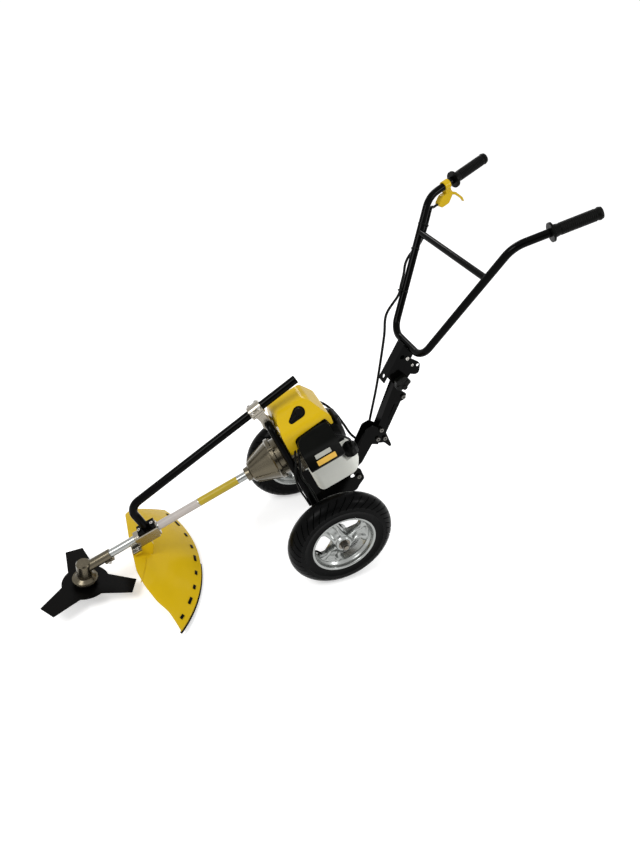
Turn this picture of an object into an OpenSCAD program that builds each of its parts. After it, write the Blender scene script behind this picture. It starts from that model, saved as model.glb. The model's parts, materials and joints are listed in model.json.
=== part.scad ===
// Wheeled brush cutter: a two-stroke engine on a two-wheeled frame drives a
// three-tooth blade through a straight shaft, and is pushed by a handlebar.
// Millimetres, +Z up, the cutter to -X, the operator to +X, left hand to -Y.

/* [Stance] */
// Radius over the tread, which sets the height of the axle
wheel_r = 166; // [150:1:180]
// Distance between the middles of the two tyres
track_w = 424; // [410:1:460]
// Slope of the drive shaft, cutter end down, in degrees
shaft_tilt = 21.7; // [20:0.1:23]
// Crank axis above the axle, square to the shaft
shaft_rise = 218; // [210:1:226]
// Axle behind the middle of the machine's length
axle_x = 106; // [60:0.5:150]

/* [Wheels] */
// Width of the tyre's section
tyre_w = 71; // [66:1:76]
// Thickness of the tyre's wall
tyre_wall = 6; // [4:0.5:8]
// Height of the tyre above the rim's lip
tyre_h = 64.5; // [62:0.5:67]
// Width of the rim over its lips
rim_w = 69; // [64:1:74]
// Thickness of the rim's sheet
rim_wall = 3.5; // [2.5:0.5:5]
// Thickness of each rolled lip
lip_t = 2.5; // [2:0.5:4]
// Radius of the hub
hub_r = 30; // [24:1:34]
// Hub length towards the engine, from the wheel's middle
hub_in = 30; // [24:1:34]
// Hub length away from the engine
hub_out = 33; // [28:1:38]
// Number of spokes
spoke_count = 3; // [3:1:5]
// Half width of a spoke at the hub
spoke_root = 17; // [12:1:20]
// Half width of a spoke at the rim
spoke_tip = 24; // [18:1:28]
// Thickness of a spoke
spoke_t = 18; // [12:1:22]
// Diameter of the axle
axle_d = 15; // [12:1:17]
// Outside diameter of the axle's sleeve
sleeve_d = 25; // [22:1:30]
// Outside diameter of a wheel bearing
bearing_d = 35; // [30:1:40]
// Width of a wheel bearing
bearing_w = 11; // [8:1:14]

/* [Shaft] */
// Outside diameter of the drive tube
tube_d = 25; // [24:0.5:28]
// Wall of the drive tube
tube_wall = 2; // [1.5:0.25:3]
// Diameter of the inner shaft
shaft_d = 8; // [7:0.5:10]
// Where the shaft and spindle axes cross, in front of the axle
head_x = 706; // [640:1:760]
// Number of bushes that carry the inner shaft
bush_count = 3; // [2:1:5]
// Length of a bush
bush_len = 26; // [18:1:36]

/* [Cutter] */
// Lean of the spindle from square to the shaft, in degrees
spindle_lean = 27.7; // [26:0.1:29]
// Blade below the crossing of the axes, along the spindle
blade_drop = 54; // [52:0.5:58]
// Radius of the blade's tip circle
blade_r = 148.5; // [120:0.5:155]
// Radius of the blade's round middle
blade_hub_r = 69; // [55:1:75]
// Thickness of the blade
blade_t = 3; // [1.5:0.5:4]
// Number of teeth on the blade
blade_teeth = 3; // [3:1:4]
// Half angle of a tooth at its tip, in degrees
tooth_tip_a = 10.2; // [6:0.1:14]
// Half angle of a tooth at the round middle, in degrees
tooth_root_a = 34; // [26:0.5:38]
// Turn of the first tooth from straight back, in degrees
blade_phase = -22.2; // [-60:0.1:60]
// Diameter of the spindle
spindle_d = 12; // [10:0.5:14]
// Radius of the gear head's barrel
barrel_r = 22; // [21.5:0.5:26]
// Radius of the gear head's lower flange
head_flange_r = 37; // [32:0.5:42]
// Teeth on the gear of the spindle
gear_teeth = 16; // [16:4:16]
// Teeth on the pinion of the inner shaft
pinion_teeth = 12; // [12:3:12]
// Pitch radius of the spindle's gear
gear_r = 15.5; // [14:0.25:16]
// Length of the gear teeth
gear_face = 5; // [4:0.5:5.5]

/* [Guard] */
// Radius of the guard's rear rim about the middle of its curve
guard_r = 436; // [425:1:445]
// Reach of the guard's rear rim behind the spindle
guard_back = 350; // [345:1:355]
// Radius of the guard's front edge about the spindle
guard_front = 141; // [130:1:150]
// Height of the guard's front edge above the blade
guard_h = 95; // [90:1:98]
// Thickness of the guard's sheet
guard_t = 3; // [2:0.5:4]
// Depth of the lip along the rim
guard_lip = 10; // [6:1:14]
// Depth of the black skirt below the rim
skirt_h = 24; // [20:1:30]
// Number of slots along the rim
slot_count = 9; // [5:1:12]

/* [Frame] */
// Diameter of the hoop and handlebar tubes
bar_d = 22.2; // [20:0.1:25.4]
// Wall of the bent tubes
bar_wall = 1.8; // [1.2:0.1:2.5]
// Hoop ahead of the axle, along the shaft
hoop_x = 17; // [15:1:20]
// Top of the hoop above the crank axis
hoop_top = 136; // [130:1:142]
// Half width of the hoop's top
hoop_top_half = 29; // [28:1:34]
// Hoop's knees inside its feet
hoop_knee_in = 6; // [2:1:12]
// Hoop's knees below the crank axis
hoop_knee = 112; // [100:1:124]
// Hoop's feet inside the middles of the tyres
hoop_inset = 54; // [52:1:60]
// Diameter of the strut over the shaft
strut_d = 25; // [22:0.5:28]
// Rise of the strut towards the back, in degrees
strut_rise = 10; // [8:0.25:12]
// Strut above the hoop, between axes
clamp_gap = 61; // [54:1:68]
// Strut's free end behind the hoop
strut_tail = 144; // [100:1:155]
// Where the strut's foot stands, behind the spindle axis
strut_foot = 221; // [206:1:236]
// Thickness of the folded sheet of chassis and brackets
sheet_t = 3; // [2:0.5:4]
// Half width of the chassis
chassis_half = 60; // [56:1:66]

/* [Engine] */
// Half width of the fuel tank
tank_half = 72; // [64:1:76]
// Top of the tank below the crank axis
tank_top = 62; // [60:1:66]
// Height of the tank
tank_h = 90; // [80:1:96]
// Step down of the tank's rear deck
tank_step = 30; // [24:1:34]
// Height of the tank's rubber feet
tank_foot_h = 14; // [10:1:18]
// Top of the yellow cover above the crank axis
cover_top = 160; // [154:1:170]
// Thickness of the plastic covers
cover_t = 2.5; // [2:0.25:3.5]
// Height of the crankcase's deck above the crank axis
deck_z = 52; // [50:1:54]
// Radius of the recoil starter's case
starter_r = 56; // [52:1:58]
// Radius of the clutch case's flange
bell_r = 66; // [62:1:70]
// Number of cooling fins
fin_count = 8; // [6:1:10]

/* [Handle] */
// Pivot of the handlebar behind the axle, along the shaft
pivot_x = 391; // [386:1:396]
// Pivot of the handlebar above the crank axis
pivot_z = 36; // [32:1:40]
// Lean of the column from the shaft's line, in degrees
column_lean = 51; // [49:0.5:53]
// Length of the column below the pivot
column_len = 236; // [228:1:244]
// Width of the column across the machine
column_w = 30; // [28:1:34]
// Depth of the column
column_deep = 24; // [22:1:26]
// Lean of the handlebar's bracket from the shaft's line, in degrees
bracket_lean = 42; // [40:0.5:44]
// Bottom of the handlebar above the pivot
bar_foot = 110; // [106:1:116]
// Half width of the handlebar's bottom
bar_foot_half = 86; // [76:1:92]
// Upper bends of the handlebar above the pivot
bar_bend = 493; // [460:1:520]
// Half width of the handlebar at its upper bends
bar_bend_half = 213; // [200:1:225]
// Length of the handlebar's ends beyond the bends
bar_end = 222; // [212:1:240]
// Outward turn of the handlebar's ends, in degrees
bar_splay = 12.5; // [8:0.5:16]
// Crossbar's place along the arms, as a share of an arm
crossbar_at = 0.74; // [0.68:0.01:0.78]
// Diameter of the crossbar
crossbar_d = 19; // [16:0.5:21]
// Diameter of a grip
grip_d = 32; // [30:0.5:36]
// Length of a grip
grip_len = 132; // [120:1:140]
// Diameter of the throttle cable with its sleeve
cable_d = 8; // [6:0.5:9]

/* [Hidden] */

$fn = 48;
yellow = "gold";
black = [0.09, 0.09, 0.1];
silver = [0.78, 0.79, 0.8];
cast_grey = [0.62, 0.62, 0.6];

// Clearances
run_gap = 0.05;   // round fit of a turning piece
side_gap = 0.4;   // between the flat faces of moving pieces
bolt_gap = 0.2;   // between a bolt and its hole, at the radius
fit_gap = 0.05;   // between a tube and what holds it, at the radius
seat_gap = 0.3;   // between a cover or a rope and its seat

// Places worked out from the sizes above; z is counted from the crank axis
axle_z = -shaft_rise;
hoop_hub = [-hoop_x, 0, hoop_top];
strut_up = [-sin(strut_rise), 0, cos(strut_rise)];
strut_at = hoop_hub + clamp_gap * strut_up;
shoe_x = head_x - strut_foot;
strut_corner = [-shoe_x, 0, strut_at[2] - (shoe_x - hoop_x + strut_at[0] + hoop_x) * tan(strut_rise)];
strut_end = strut_at + strut_tail * [cos(strut_rise), 0, sin(strut_rise)];
hoop_foot_half = track_w / 2 - hoop_inset;
hoop_knee_half = hoop_foot_half - hoop_knee_in;
rim_r = wheel_r - tyre_h;
bar_r = bar_d / 2;
strut_r = strut_d / 2;
tube_r = tube_d / 2;
bracket_l = 76;
bracket_x = -shoe_x - 8;
bracket_top = tube_r + 4;
bracket_low = -tube_r - 5;
bracket_half = tube_r + 5;
foot_t = 6;
pad_t = 7;
seat_r = rim_r - 4;
well_r = seat_r - 8;
bead_half = rim_w / 2 - lip_t;
tyre_mid = wheel_r - tyre_w / 2;
column_half = column_w / 2;
cheek_in = column_half + side_gap;
knob_bolt_r = 5;
tank_low = tank_top + tank_h;
chassis_top = tank_low + tank_foot_h;
m6_r = 3;
m8_r = 4;
foot_x = [40, 106];

// Points of an outline with each corner turned into an arc of its own radius
function unit(v) = v / norm(v);
function corner_arc(a, b, c, r, steps) =
  let (
    u = unit(a - b),
    v = unit(c - b),
    half = acos(max(-1, min(1, u * v))) / 2,
    cut = min(r / tan(half), 0.49 * norm(a - b), 0.49 * norm(c - b)),
    centre = b + unit(u + v) * cut / cos(half),
    from = b + u * cut - centre,
    to = b + v * cut - centre
  )
  [for (i = [0:steps]) centre + unit(from * (steps - i) + to * i) * norm(from)];
function rounded(points, radii, steps = 5) =
  let (n = len(points))
  [for (i = [0:n - 1])
    let (r = is_list(radii) ? radii[i] : radii)
    each r == 0 ? [points[i]] : corner_arc(points[(i + n - 1) % n], points[i], points[(i + 1) % n], r, steps)];

// Frames: the crank's, with x along the shaft, and those that hang on it
module crank_frame() {
  translate([axle_x, 0, wheel_r]) rotate([0, -shaft_tilt, 0]) translate([0, 0, shaft_rise]) children();
}
module axle_frame() {
  translate([axle_x, 0, wheel_r]) children();
}
module head_frame() {
  crank_frame() translate([-head_x, 0, 0]) rotate([0, spindle_lean, 0]) children();
}
module blade_frame() {
  head_frame() translate([0, 0, -blade_drop]) children();
}
module strut_frame() {
  crank_frame() translate(strut_at) rotate([0, -strut_rise, 0]) children();
}
module bracket_frame() {
  crank_frame() translate([pivot_x, 0, pivot_z]) rotate([0, -bracket_lean, 0]) children();
}
module column_frame() {
  crank_frame() translate([pivot_x, 0, pivot_z]) rotate([0, -column_lean, 0]) children();
}
module wheel_frame(side) {
  axle_frame() translate([0, side * track_w / 2, 0]) rotate([-side * 90, 0, 0]) children();
}

// A solid turned about the x axis, from an outline of [x, radius] points
module turned_x(outline) {
  rotate([0, 90, 0]) rotate_extrude() polygon([for (p = outline) [p[1], p[0]]]);
}
// A cylinder along x or along y
module rod_x(r, from, to) {
  translate([from, 0, 0]) rotate([0, 90, 0]) cylinder(r = r, h = to - from);
}
module rod_y(r, from, to) {
  translate([0, from, 0]) rotate([-90, 0, 0]) cylinder(r = r, h = to - from);
}
// A plate square to y, from an outline of [x, z] points
module plate_y(outline, from, to) {
  translate([0, to, 0]) rotate([90, 0, 0]) linear_extrude(to - from) polygon(outline);
}
// A bar square to x, from an outline of [y, z] points
module plate_x(outline, from, to) {
  translate([from, 0, 0]) rotate([90, 0, 90]) linear_extrude(to - from) polygon(outline);
}

// Bent tube: straight lengths with true elbows between them
function side_of(d) = abs(d[2]) < 0.9 ? unit(cross([0, 0, 1], d)) : unit(cross([0, 1, 0], d));
module along(p, d) {
  s = side_of(d);
  t = cross(d, s);
  multmatrix([[s[0], t[0], d[0], p[0]], [s[1], t[1], d[1], p[1]], [s[2], t[2], d[2], p[2]], [0, 0, 0, 1]])
    children();
}
module ring_2d(r, wall) {
  difference() {
    circle(r);
    if (wall > 0) circle(r - wall);
  }
}
function bend_angle(a, b, c) = acos(max(-1, min(1, unit(b - a) * unit(c - b))));
function bend_cut(p, i, radii) =
  i == 0 || i == len(p) - 1 ? 0 : radii[i] * tan(bend_angle(p[i - 1], p[i], p[i + 1]) / 2);
module elbow(a, b, c, bend_r, r, wall) {
  u = unit(b - a);
  v = unit(c - b);
  turn = bend_angle(a, b, c);
  w = unit(cross(u, v));
  centre = b + unit(v - u) * bend_r / cos(turn / 2);
  x = unit(b - u * bend_r * tan(turn / 2) - centre);
  multmatrix([[x[0], u[0], w[0], centre[0]], [x[1], u[1], w[1], centre[1]], [x[2], u[2], w[2], centre[2]],
      [0, 0, 0, 1]])
    rotate_extrude(angle = turn) translate([bend_r, 0]) ring_2d(r, wall);
}
// Each elbow meets its straight lengths inside a band that stands a little proud
band_len = 2;
band_up = 0.1;
module bent_tube(p, radii, r, wall) {
  last = len(p) - 1;
  for (i = [0:last - 1]) {
    d = unit(p[i + 1] - p[i]);
    from = p[i] + d * (i == 0 ? 0 : bend_cut(p, i, radii) + band_len / 4);
    to = p[i + 1] - d * (i == last - 1 ? 0 : bend_cut(p, i + 1, radii) + band_len / 4);
    along(from, d) linear_extrude(norm(to - from)) ring_2d(r, wall);
    if (i > 0) along(from - d * band_len * 0.6, d)
      linear_extrude(band_len) ring_2d(r + band_up, wall > 0 ? wall + 2 * band_up : 0);
    if (i < last - 1) along(to - d * band_len * 0.4, d)
      linear_extrude(band_len) ring_2d(r + band_up, wall > 0 ? wall + 2 * band_up : 0);
  }
  for (i = [1:last - 1]) elbow(p[i - 1], p[i], p[i + 1], radii[i], r, wall);
}

// Cable: one tube swept along a smooth curve through its points
cable_sides = 8;
function spline_at(p, i, t) =
  let (
    n = len(p),
    a = p[max(i - 1, 0)],
    b = p[i],
    c = p[min(i + 1, n - 1)],
    d = p[min(i + 2, n - 1)]
  )
  0.5 * (2 * b + (c - a) * t + (2 * a - 5 * b + 4 * c - d) * t * t + (3 * b - a - 3 * c + d) * t * t * t);
function spline(p, steps) =
  concat([for (i = [0:len(p) - 2]) each [for (j = [0:steps - 1]) spline_at(p, i, j / steps)]], [p[len(p) - 1]]);
function heading(c, i) = unit(c[min(i + 1, len(c) - 1)] - c[max(i - 1, 0)]);
module swept(curve, from, to, r) {
  rings = to - from + 1;
  points = [for (i = [from:to])
    let (d = heading(curve, i), s = unit(cross([0, 1, 0], d)), t = cross(d, s))
    each [for (k = [0:cable_sides - 1])
      curve[i] + r * (cos(k * 360 / cable_sides) * s + sin(k * 360 / cable_sides) * t)]];
  walls = [for (i = [0:rings - 2])
    each [for (k = [0:cable_sides - 1])
      let (m = (k + 1) % cable_sides, q = i * cable_sides)
      [q + cable_sides + k, q + cable_sides + m, q + m, q + k]]];
  caps = [[for (k = [0:cable_sides - 1]) k], [for (k = [cable_sides - 1:-1:0]) (rings - 1) * cable_sides + k]];
  polyhedron(points, concat(walls, caps));
}

// Wheels
spoke_face = 12;
rim_profile = let (h = rim_w / 2, w = 14, g = 11)
  [[rim_r, h], [rim_r, h - lip_t], [seat_r, h - lip_t], [seat_r, h - g], [well_r, w], [well_r, -w],
   [seat_r, g - h], [seat_r, lip_t - h], [rim_r, lip_t - h], [rim_r, -h], [seat_r - rim_wall, -h],
   [seat_r - rim_wall, g - h], [well_r - rim_wall, -w], [well_r - rim_wall, w], [seat_r - rim_wall, h - g],
   [seat_r - rim_wall, h]];
module spoke() {
  reach = well_r;
  translate([0, 0, spoke_face - spoke_t]) linear_extrude(spoke_t) intersection() {
    polygon([[0, -spoke_root], [reach, -spoke_tip], [reach, spoke_tip], [0, spoke_root]]);
    circle(well_r - rim_wall / 2);
  }
}
module spoke_groove() {
  translate([hub_r + 4, -spoke_root / 3, spoke_face - 5])
    cube([well_r - rim_wall - hub_r - 10, 2 * spoke_root / 3, 6]);
}
module rim(side) {
  color(silver) wheel_frame(side) difference() {
    union() {
      rotate_extrude($fn = 96) polygon(rim_profile);
      translate([0, 0, -hub_in]) cylinder(r = hub_r, h = hub_in + hub_out);
      for (i = [0:spoke_count - 1]) rotate([0, 0, 126.5 + i * 360 / spoke_count]) spoke();
    }
    for (i = [0:spoke_count - 1]) rotate([0, 0, 126.5 + i * 360 / spoke_count]) spoke_groove();
    translate([0, 0, -hub_in - 1]) cylinder(d = sleeve_d + 2, h = hub_in + hub_out + 2);
    for (z = [-hub_in - 1, hub_out - bearing_w]) translate([0, 0, z])
      cylinder(r = bearing_d / 2 + run_gap, h = bearing_w + 1);
  }
}
module tyre(side) {
  color(black) wheel_frame(side) rotate_extrude($fn = 96) difference() {
    union() {
      translate([tyre_mid, 0]) circle(tyre_w / 2);
      translate([seat_r, -bead_half]) square([tyre_mid - seat_r, 2 * bead_half]);
    }
    translate([tyre_mid, 0]) circle(tyre_w / 2 - tyre_wall);
    translate([tyre_mid - tyre_w / 2 - 1, tyre_wall - bead_half])
      square([tyre_w / 2 + 1, 2 * (bead_half - tyre_wall)]);
  }
}
module rim_left() { rim(-1); }
module rim_right() { rim(1); }
module tyre_left() { tyre(-1); }
module tyre_right() { tyre(1); }

nut_h = 12;
axle_half = track_w / 2 + hub_out + nut_h + 4;
module axle() {
  color(silver) axle_frame() {
    rod_y(axle_d / 2, -axle_half, axle_half);
    rod_y(sleeve_d / 2, hub_in - track_w / 2, track_w / 2 - hub_in);
  }
}
module axle_nuts() {
  color(silver) axle_frame() for (side = [-1, 1]) translate([0, side * (track_w / 2 + hub_out), 0])
    rotate([-side * 90, 0, 0]) difference() {
      union() {
        cylinder(r = axle_d / 2 + 3.5, h = 2);
        cylinder(r = axle_d / 2 + 5.5, h = nut_h, $fn = 6);
      }
      translate([0, 0, -1]) cylinder(d = axle_d, h = nut_h + 2);
    }
}
module wheel_bearings() {
  color(silver) for (side = [-1, 1]) wheel_frame(side) for (z = [-hub_in, hub_out - bearing_w])
    translate([0, 0, z]) difference() {
      cylinder(d = bearing_d, h = bearing_w);
      translate([0, 0, -1]) cylinder(d = axle_d, h = bearing_w + 2);
    }
}

// Frame
hoop_path = [
  [0, -hoop_foot_half, axle_z], [-hoop_x, -hoop_knee_half, -hoop_knee], [-hoop_x, -hoop_top_half, hoop_top],
  [-hoop_x, hoop_top_half, hoop_top], [-hoop_x, hoop_knee_half, -hoop_knee], [0, hoop_foot_half, axle_z]
];
hoop_bends = [0, 70, 25, 25, 70, 0];
engine_plate = rounded([[-78, -60], [78, -60], [78, 58], [-78, 58]], 20);
module hoop() {
  color(black) crank_frame() difference() {
    bent_tube(hoop_path, hoop_bends, bar_r, bar_wall);
    translate([0, 0, axle_z]) rod_y(sleeve_d / 2, -track_w / 2, track_w / 2);
  }
}
chassis_side = rounded([
  [-22, -chassis_top], [118, -chassis_top], [134, 10 - chassis_top], [153, 13 - chassis_top],
  [162, -chassis_top], [162, -chassis_top - 43], [139, axle_z - 6], [124, axle_z - 20], [24, axle_z - 20],
  [-22, axle_z - 8]
], [0, 8, 6, 8, 8, 14, 10, 10, 14, 14]);
brace_hole = [147, 30 - shaft_rise];
module chassis() {
  color(black) crank_frame() difference() {
    union() {
      for (y = [-chassis_half, chassis_half - sheet_t]) plate_y(chassis_side, y, y + sheet_t);
      translate([-22, -chassis_half, -chassis_top - sheet_t]) cube([140, 2 * chassis_half, sheet_t]);
    }
    translate([0, 0, axle_z]) rod_y(sleeve_d / 2, -chassis_half - 1, chassis_half + 1);
    translate([131, 0, -chassis_top - 9]) rod_y(8.5, -chassis_half - 1, 0);
    translate([brace_hole[0], 0, brace_hole[1]]) rod_y(m8_r + bolt_gap, -chassis_half - 1, chassis_half + 1);
    for (x = foot_x) translate([x, 0, -chassis_top - sheet_t - 1])
      for (y = [-34, 34]) translate([0, y, 0]) cylinder(r = m6_r + bolt_gap, h = sheet_t + 2);
  }
}
foot_path = [
  [-shoe_x, 0, bracket_top + foot_t], strut_corner, strut_end
];
module strut() {
  color(black) crank_frame() difference() {
    union() {
      bent_tube(foot_path, [0, 42, 0], strut_r, bar_wall);
      plate_x(rounded([[-21, bracket_top], [21, bracket_top], [21, bracket_top + foot_t],
        [-21, bracket_top + foot_t]], 0), -shoe_x - 28, -shoe_x + 28);
    }
    for (x = [-21, 21]) translate([x - shoe_x, 0, bracket_top - 1])
      cylinder(r = m6_r + bolt_gap, h = foot_t + 2);
  }
}
jaw_x = 20;
jaw_y = strut_r + 11;
jaw_bolt_y = strut_r + 5.5;
jaw_bolt_x = 12;
jaw_seat = 8;
ring_t = 6;
lug_x = 11;
lug_y = 12;
lug_low = -clamp_gap - bar_r - 13;
module clamp_body() {
  color(cast_grey) strut_frame() difference() {
    union() {
      difference() {
        rod_x(strut_r + ring_t, -jaw_x, jaw_x);
        translate([-jaw_x - 1, -jaw_y, -0.5]) cube([2 * jaw_x + 2, 2 * jaw_y, strut_r + ring_t + 2]);
      }
      plate_y(rounded([[-jaw_x, -jaw_seat], [jaw_x, -jaw_seat], [jaw_x, -0.6], [-jaw_x, -0.6]], 0), -jaw_y, jaw_y);
      plate_y([[-13, -14], [13, -14], [10, -clamp_gap], [-10, -clamp_gap]], 1 - lug_y, lug_y - 1);
      translate([0, 0, -clamp_gap]) rod_y(bar_r + ring_t, -lug_y, lug_y);
      translate([-lug_x, 1 - lug_y, lug_low]) cube([2 * lug_x, 2 * lug_y - 2, 16]);
    }
    rod_x(strut_r + fit_gap, -jaw_x - 1, jaw_x + 1);
    translate([0, 0, -clamp_gap]) rod_y(bar_r + fit_gap, -jaw_y - 1, jaw_y + 1);
    translate([-1, -18, lug_low - 1]) cube([2, 36, 15]);
    translate([0, 0, lug_low + 6]) rod_x(m6_r + bolt_gap, -30, 30);
    for (x = [-jaw_bolt_x, jaw_bolt_x], y = [-jaw_bolt_y, jaw_bolt_y]) translate([x, y, -jaw_seat - 8])
      cylinder(r = m6_r + bolt_gap, h = jaw_seat + 9);
  }
}
module clamp_cap() {
  color(cast_grey) strut_frame() difference() {
    union() {
      difference() {
        rod_x(strut_r + ring_t, -jaw_x, jaw_x);
        translate([-jaw_x - 1, -jaw_y, -strut_r - ring_t - 2])
          cube([2 * jaw_x + 2, 2 * jaw_y, strut_r + ring_t + 2.5]);
      }
      plate_y([[-jaw_x, 0.6], [jaw_x, 0.6], [jaw_x, jaw_seat], [-jaw_x, jaw_seat]], -jaw_y, jaw_y);
    }
    rod_x(strut_r + fit_gap, -jaw_x - 1, jaw_x + 1);
    for (x = [-jaw_bolt_x, jaw_bolt_x], y = [-jaw_bolt_y, jaw_bolt_y]) translate([x, y, -1]) {
      cylinder(r = m6_r + bolt_gap, h = 40);
      translate([0, 0, jaw_seat + 1]) cylinder(r = 1.7 * m6_r + bolt_gap, h = 30);
    }
  }
}
// A bolt with a round head, its head seated at the origin and its shank down
module bolt(r, length) {
  translate([0, 0, -length]) cylinder(r = r, h = length);
  difference() {
    cylinder(r = 1.7 * r, h = 1.6 * r);
    translate([0, 0, 0.8 * r]) cylinder(r = 0.9 * r, h = r, $fn = 6);
  }
}
guard_bolt_x = [bracket_x - bracket_l / 2 - 8, bracket_x + bracket_l / 2 - 20];
guard_bolt_y = tube_r + 11.5;
module m6_bolts() {
  color(silver) {
    strut_frame() {
      for (x = [-jaw_bolt_x, jaw_bolt_x], y = [-jaw_bolt_y, jaw_bolt_y])
        translate([x, y, jaw_seat]) bolt(m6_r, 2 * jaw_seat + 3);
      translate([-lug_x, 0, lug_low + 6]) rotate([0, -90, 0]) bolt(m6_r, 2 * lug_x);
    }
    crank_frame() {
      for (x = [-21, 21]) translate([x - shoe_x, 0, bracket_top + foot_t]) bolt(m6_r, foot_t + 3.5);
      for (y = [-guard_bolt_y, guard_bolt_y]) translate([guard_bolt_x[0], y, bracket_low - 0.5])
        bolt(m6_r, pad_t + 4.5);
      translate([pinch_x - head_x, -11, -tube_r - 5.5]) rotate([90, 0, 0]) bolt(m6_r, 22);
      for (x = foot_x, y = [-34, 34]) translate([x, y, -chassis_top - sheet_t]) rotate([180, 0, 0])
        bolt(m6_r, sheet_t + tank_foot_h - 4);
    }
  }
}

// Drive line
tube_front = 24 - head_x;
tube_back = -108;
module drive_tube() {
  color(silver) crank_frame() difference() {
    rod_x(tube_r, tube_front, tube_back);
    rod_x(tube_r - tube_wall, tube_front - 1, tube_back + 1);
  }
}
bush_span = tube_back - tube_front - bush_len - 12;
module shaft_bushes() {
  color(black) crank_frame() for (i = [0:bush_count - 1])
    translate([tube_front + 6 + i * bush_span / (bush_count - 1), 0, 0]) difference() {
      rod_x(tube_r - tube_wall, 0, bush_len);
      rod_x(shaft_d / 2 + run_gap, -1, bush_len + 1);
    }
}
// Bevel gears: straight teeth on two cones that share the crossing of the axes
shaft_angle = 90 + spindle_lean;
pinion_cone = atan(sin(shaft_angle) / (gear_teeth / pinion_teeth + cos(shaft_angle)));
gear_cone = shaft_angle - pinion_cone;
cone_len = gear_r / sin(gear_cone);
tooth_up = 0.8;
tooth_down = 1.3;
tooth_w = 1.5;
module bevel(teeth, cone, back, bore_r, phase) {
  out = [cos(cone), -sin(cone)];
  heel = cone_len * [sin(cone), cos(cone)] - tooth_down * out;
  toe = (cone_len - gear_face) * [sin(cone), cos(cone)] - tooth_down * out;
  rotate_extrude() polygon([[bore_r, toe[1]], toe, heel, [heel[0], back], [bore_r, back]]);
  for (i = [0:teeth - 1]) rotate([90, 0, phase + i * 360 / teeth])
    linear_extrude(tooth_w, center = true) polygon([heel - 0.6 * out, toe - 0.6 * out,
      toe + (tooth_down + tooth_up) * out, heel + (tooth_down + tooth_up) * out]);
}
gear_back = cone_len * cos(gear_cone) + 5;
pinion_back = cone_len * cos(pinion_cone) + 5;
head_bearing_r = 13;
head_bearing_w = 9;
head_low = -40;
neck_len = 90;
pinch_x = 75;
pinion_room = 12;
bearing_tops = [-gear_back - 1.5, head_low + head_bearing_w];
module spindle() {
  color(silver) head_frame() {
    translate([0, 0, -blade_drop - blade_t - 22]) cylinder(d = spindle_d, h = blade_drop + blade_t + 21);
    rotate([180, 0, 0]) bevel(gear_teeth, gear_cone, gear_back, spindle_d / 2 - 0.5, 0);
  }
}
module drive_shaft() {
  color(silver) crank_frame() {
    rod_x(shaft_d / 2, 9 - head_x, -62);
    translate([-head_x, 0, 0]) rotate([0, 90, 0])
      bevel(pinion_teeth, pinion_cone, pinion_back, shaft_d / 2 - 0.5, 180 / pinion_teeth);
  }
}
module gear_head() {
  color(cast_grey) difference() {
    union() {
      head_frame() {
        translate([0, 0, head_low + 6]) cylinder(r = barrel_r, h = 22 - head_low - 6);
        translate([0, 0, head_low]) cylinder(r = head_flange_r, h = 6);
        translate([0, 0, 22]) cylinder(r1 = barrel_r, r2 = barrel_r - 4, h = 5);
        translate([0, 0, head_low + 6]) cylinder(r1 = head_flange_r - 4, r2 = barrel_r, h = 7);
      }
      crank_frame() translate([-head_x, 0, 0]) {
        rod_x(tube_r + 3.5, 0, neck_len);
        plate_x(rounded([[-11, 0], [-11, -tube_r - 10], [11, -tube_r - 10], [11, 0]], [0, 4, 4, 0]),
          pinch_x - 13, neck_len);
      }
    }
    head_frame() {
      sphere(cone_len + 2.4);
      translate([0, 0, head_low - 1]) cylinder(r = head_bearing_r, h = -gear_back - 1.5 - head_low + 1);
      translate([0, 0, -gear_back - 2]) cylinder(r = gear_r + 3, h = gear_back);
    }
    crank_frame() translate([-head_x, 0, 0]) {
      rod_x(pinion_room, 0, 24);
      rod_x(tube_r + fit_gap, 23.9, neck_len + 1);
      translate([pinch_x - 14, -1, -tube_r - 11]) cube([neck_len - pinch_x + 15, 2, 13]);
      translate([pinch_x, 0, -tube_r - 5.5]) rod_y(m6_r + bolt_gap, -14, 14);
    }
  }
}
module head_bearings() {
  color(silver) head_frame() for (top = bearing_tops) translate([0, 0, top - head_bearing_w]) difference() {
    cylinder(r = head_bearing_r, h = head_bearing_w);
    translate([0, 0, -1]) cylinder(r = spindle_d / 2 + run_gap, h = head_bearing_w + 2);
  }
}
module blade() {
  tip = blade_r * [cos(tooth_tip_a), sin(tooth_tip_a)];
  root = tip + 1.2 * (blade_hub_r * [cos(tooth_root_a), sin(tooth_root_a)] - tip);
  color(black) blade_frame() difference() {
    translate([0, 0, -blade_t]) linear_extrude(blade_t) union() {
      circle(blade_hub_r);
      for (i = [0:blade_teeth - 1]) rotate(blade_phase + i * 360 / blade_teeth)
        polygon([[root[0], -root[1]], [tip[0], -tip[1]], tip, root]);
    }
    translate([0, 0, -blade_t - 1]) cylinder(d = spindle_d, h = blade_t + 2);
  }
}
module blade_holder() {
  color(black) blade_frame() difference() {
    union() {
      cylinder(r = 31, h = 3);
      cylinder(r1 = 31, r2 = 22, h = 8);
      cylinder(r = 14, h = blade_drop + head_low - side_gap);
    }
    translate([0, 0, -1]) cylinder(d = spindle_d, h = blade_drop);
  }
}
cup_h = 12;
module blade_cup() {
  color(black) blade_frame() translate([0, 0, -blade_t - cup_h]) difference() {
    cylinder(r1 = 24, r2 = 34, h = cup_h);
    translate([0, 0, -1]) cylinder(d = spindle_d, h = cup_h + 2);
    translate([0, 0, -1]) cylinder(r = 14, h = cup_h - 4);
  }
}
module blade_nut() {
  color(silver) blade_frame() translate([0, 0, -blade_t - cup_h + 3 - 8]) difference() {
    cylinder(r = 10.5, h = 8, $fn = 6);
    translate([0, 0, -1]) cylinder(d = spindle_d, h = 10);
  }
}

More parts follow.
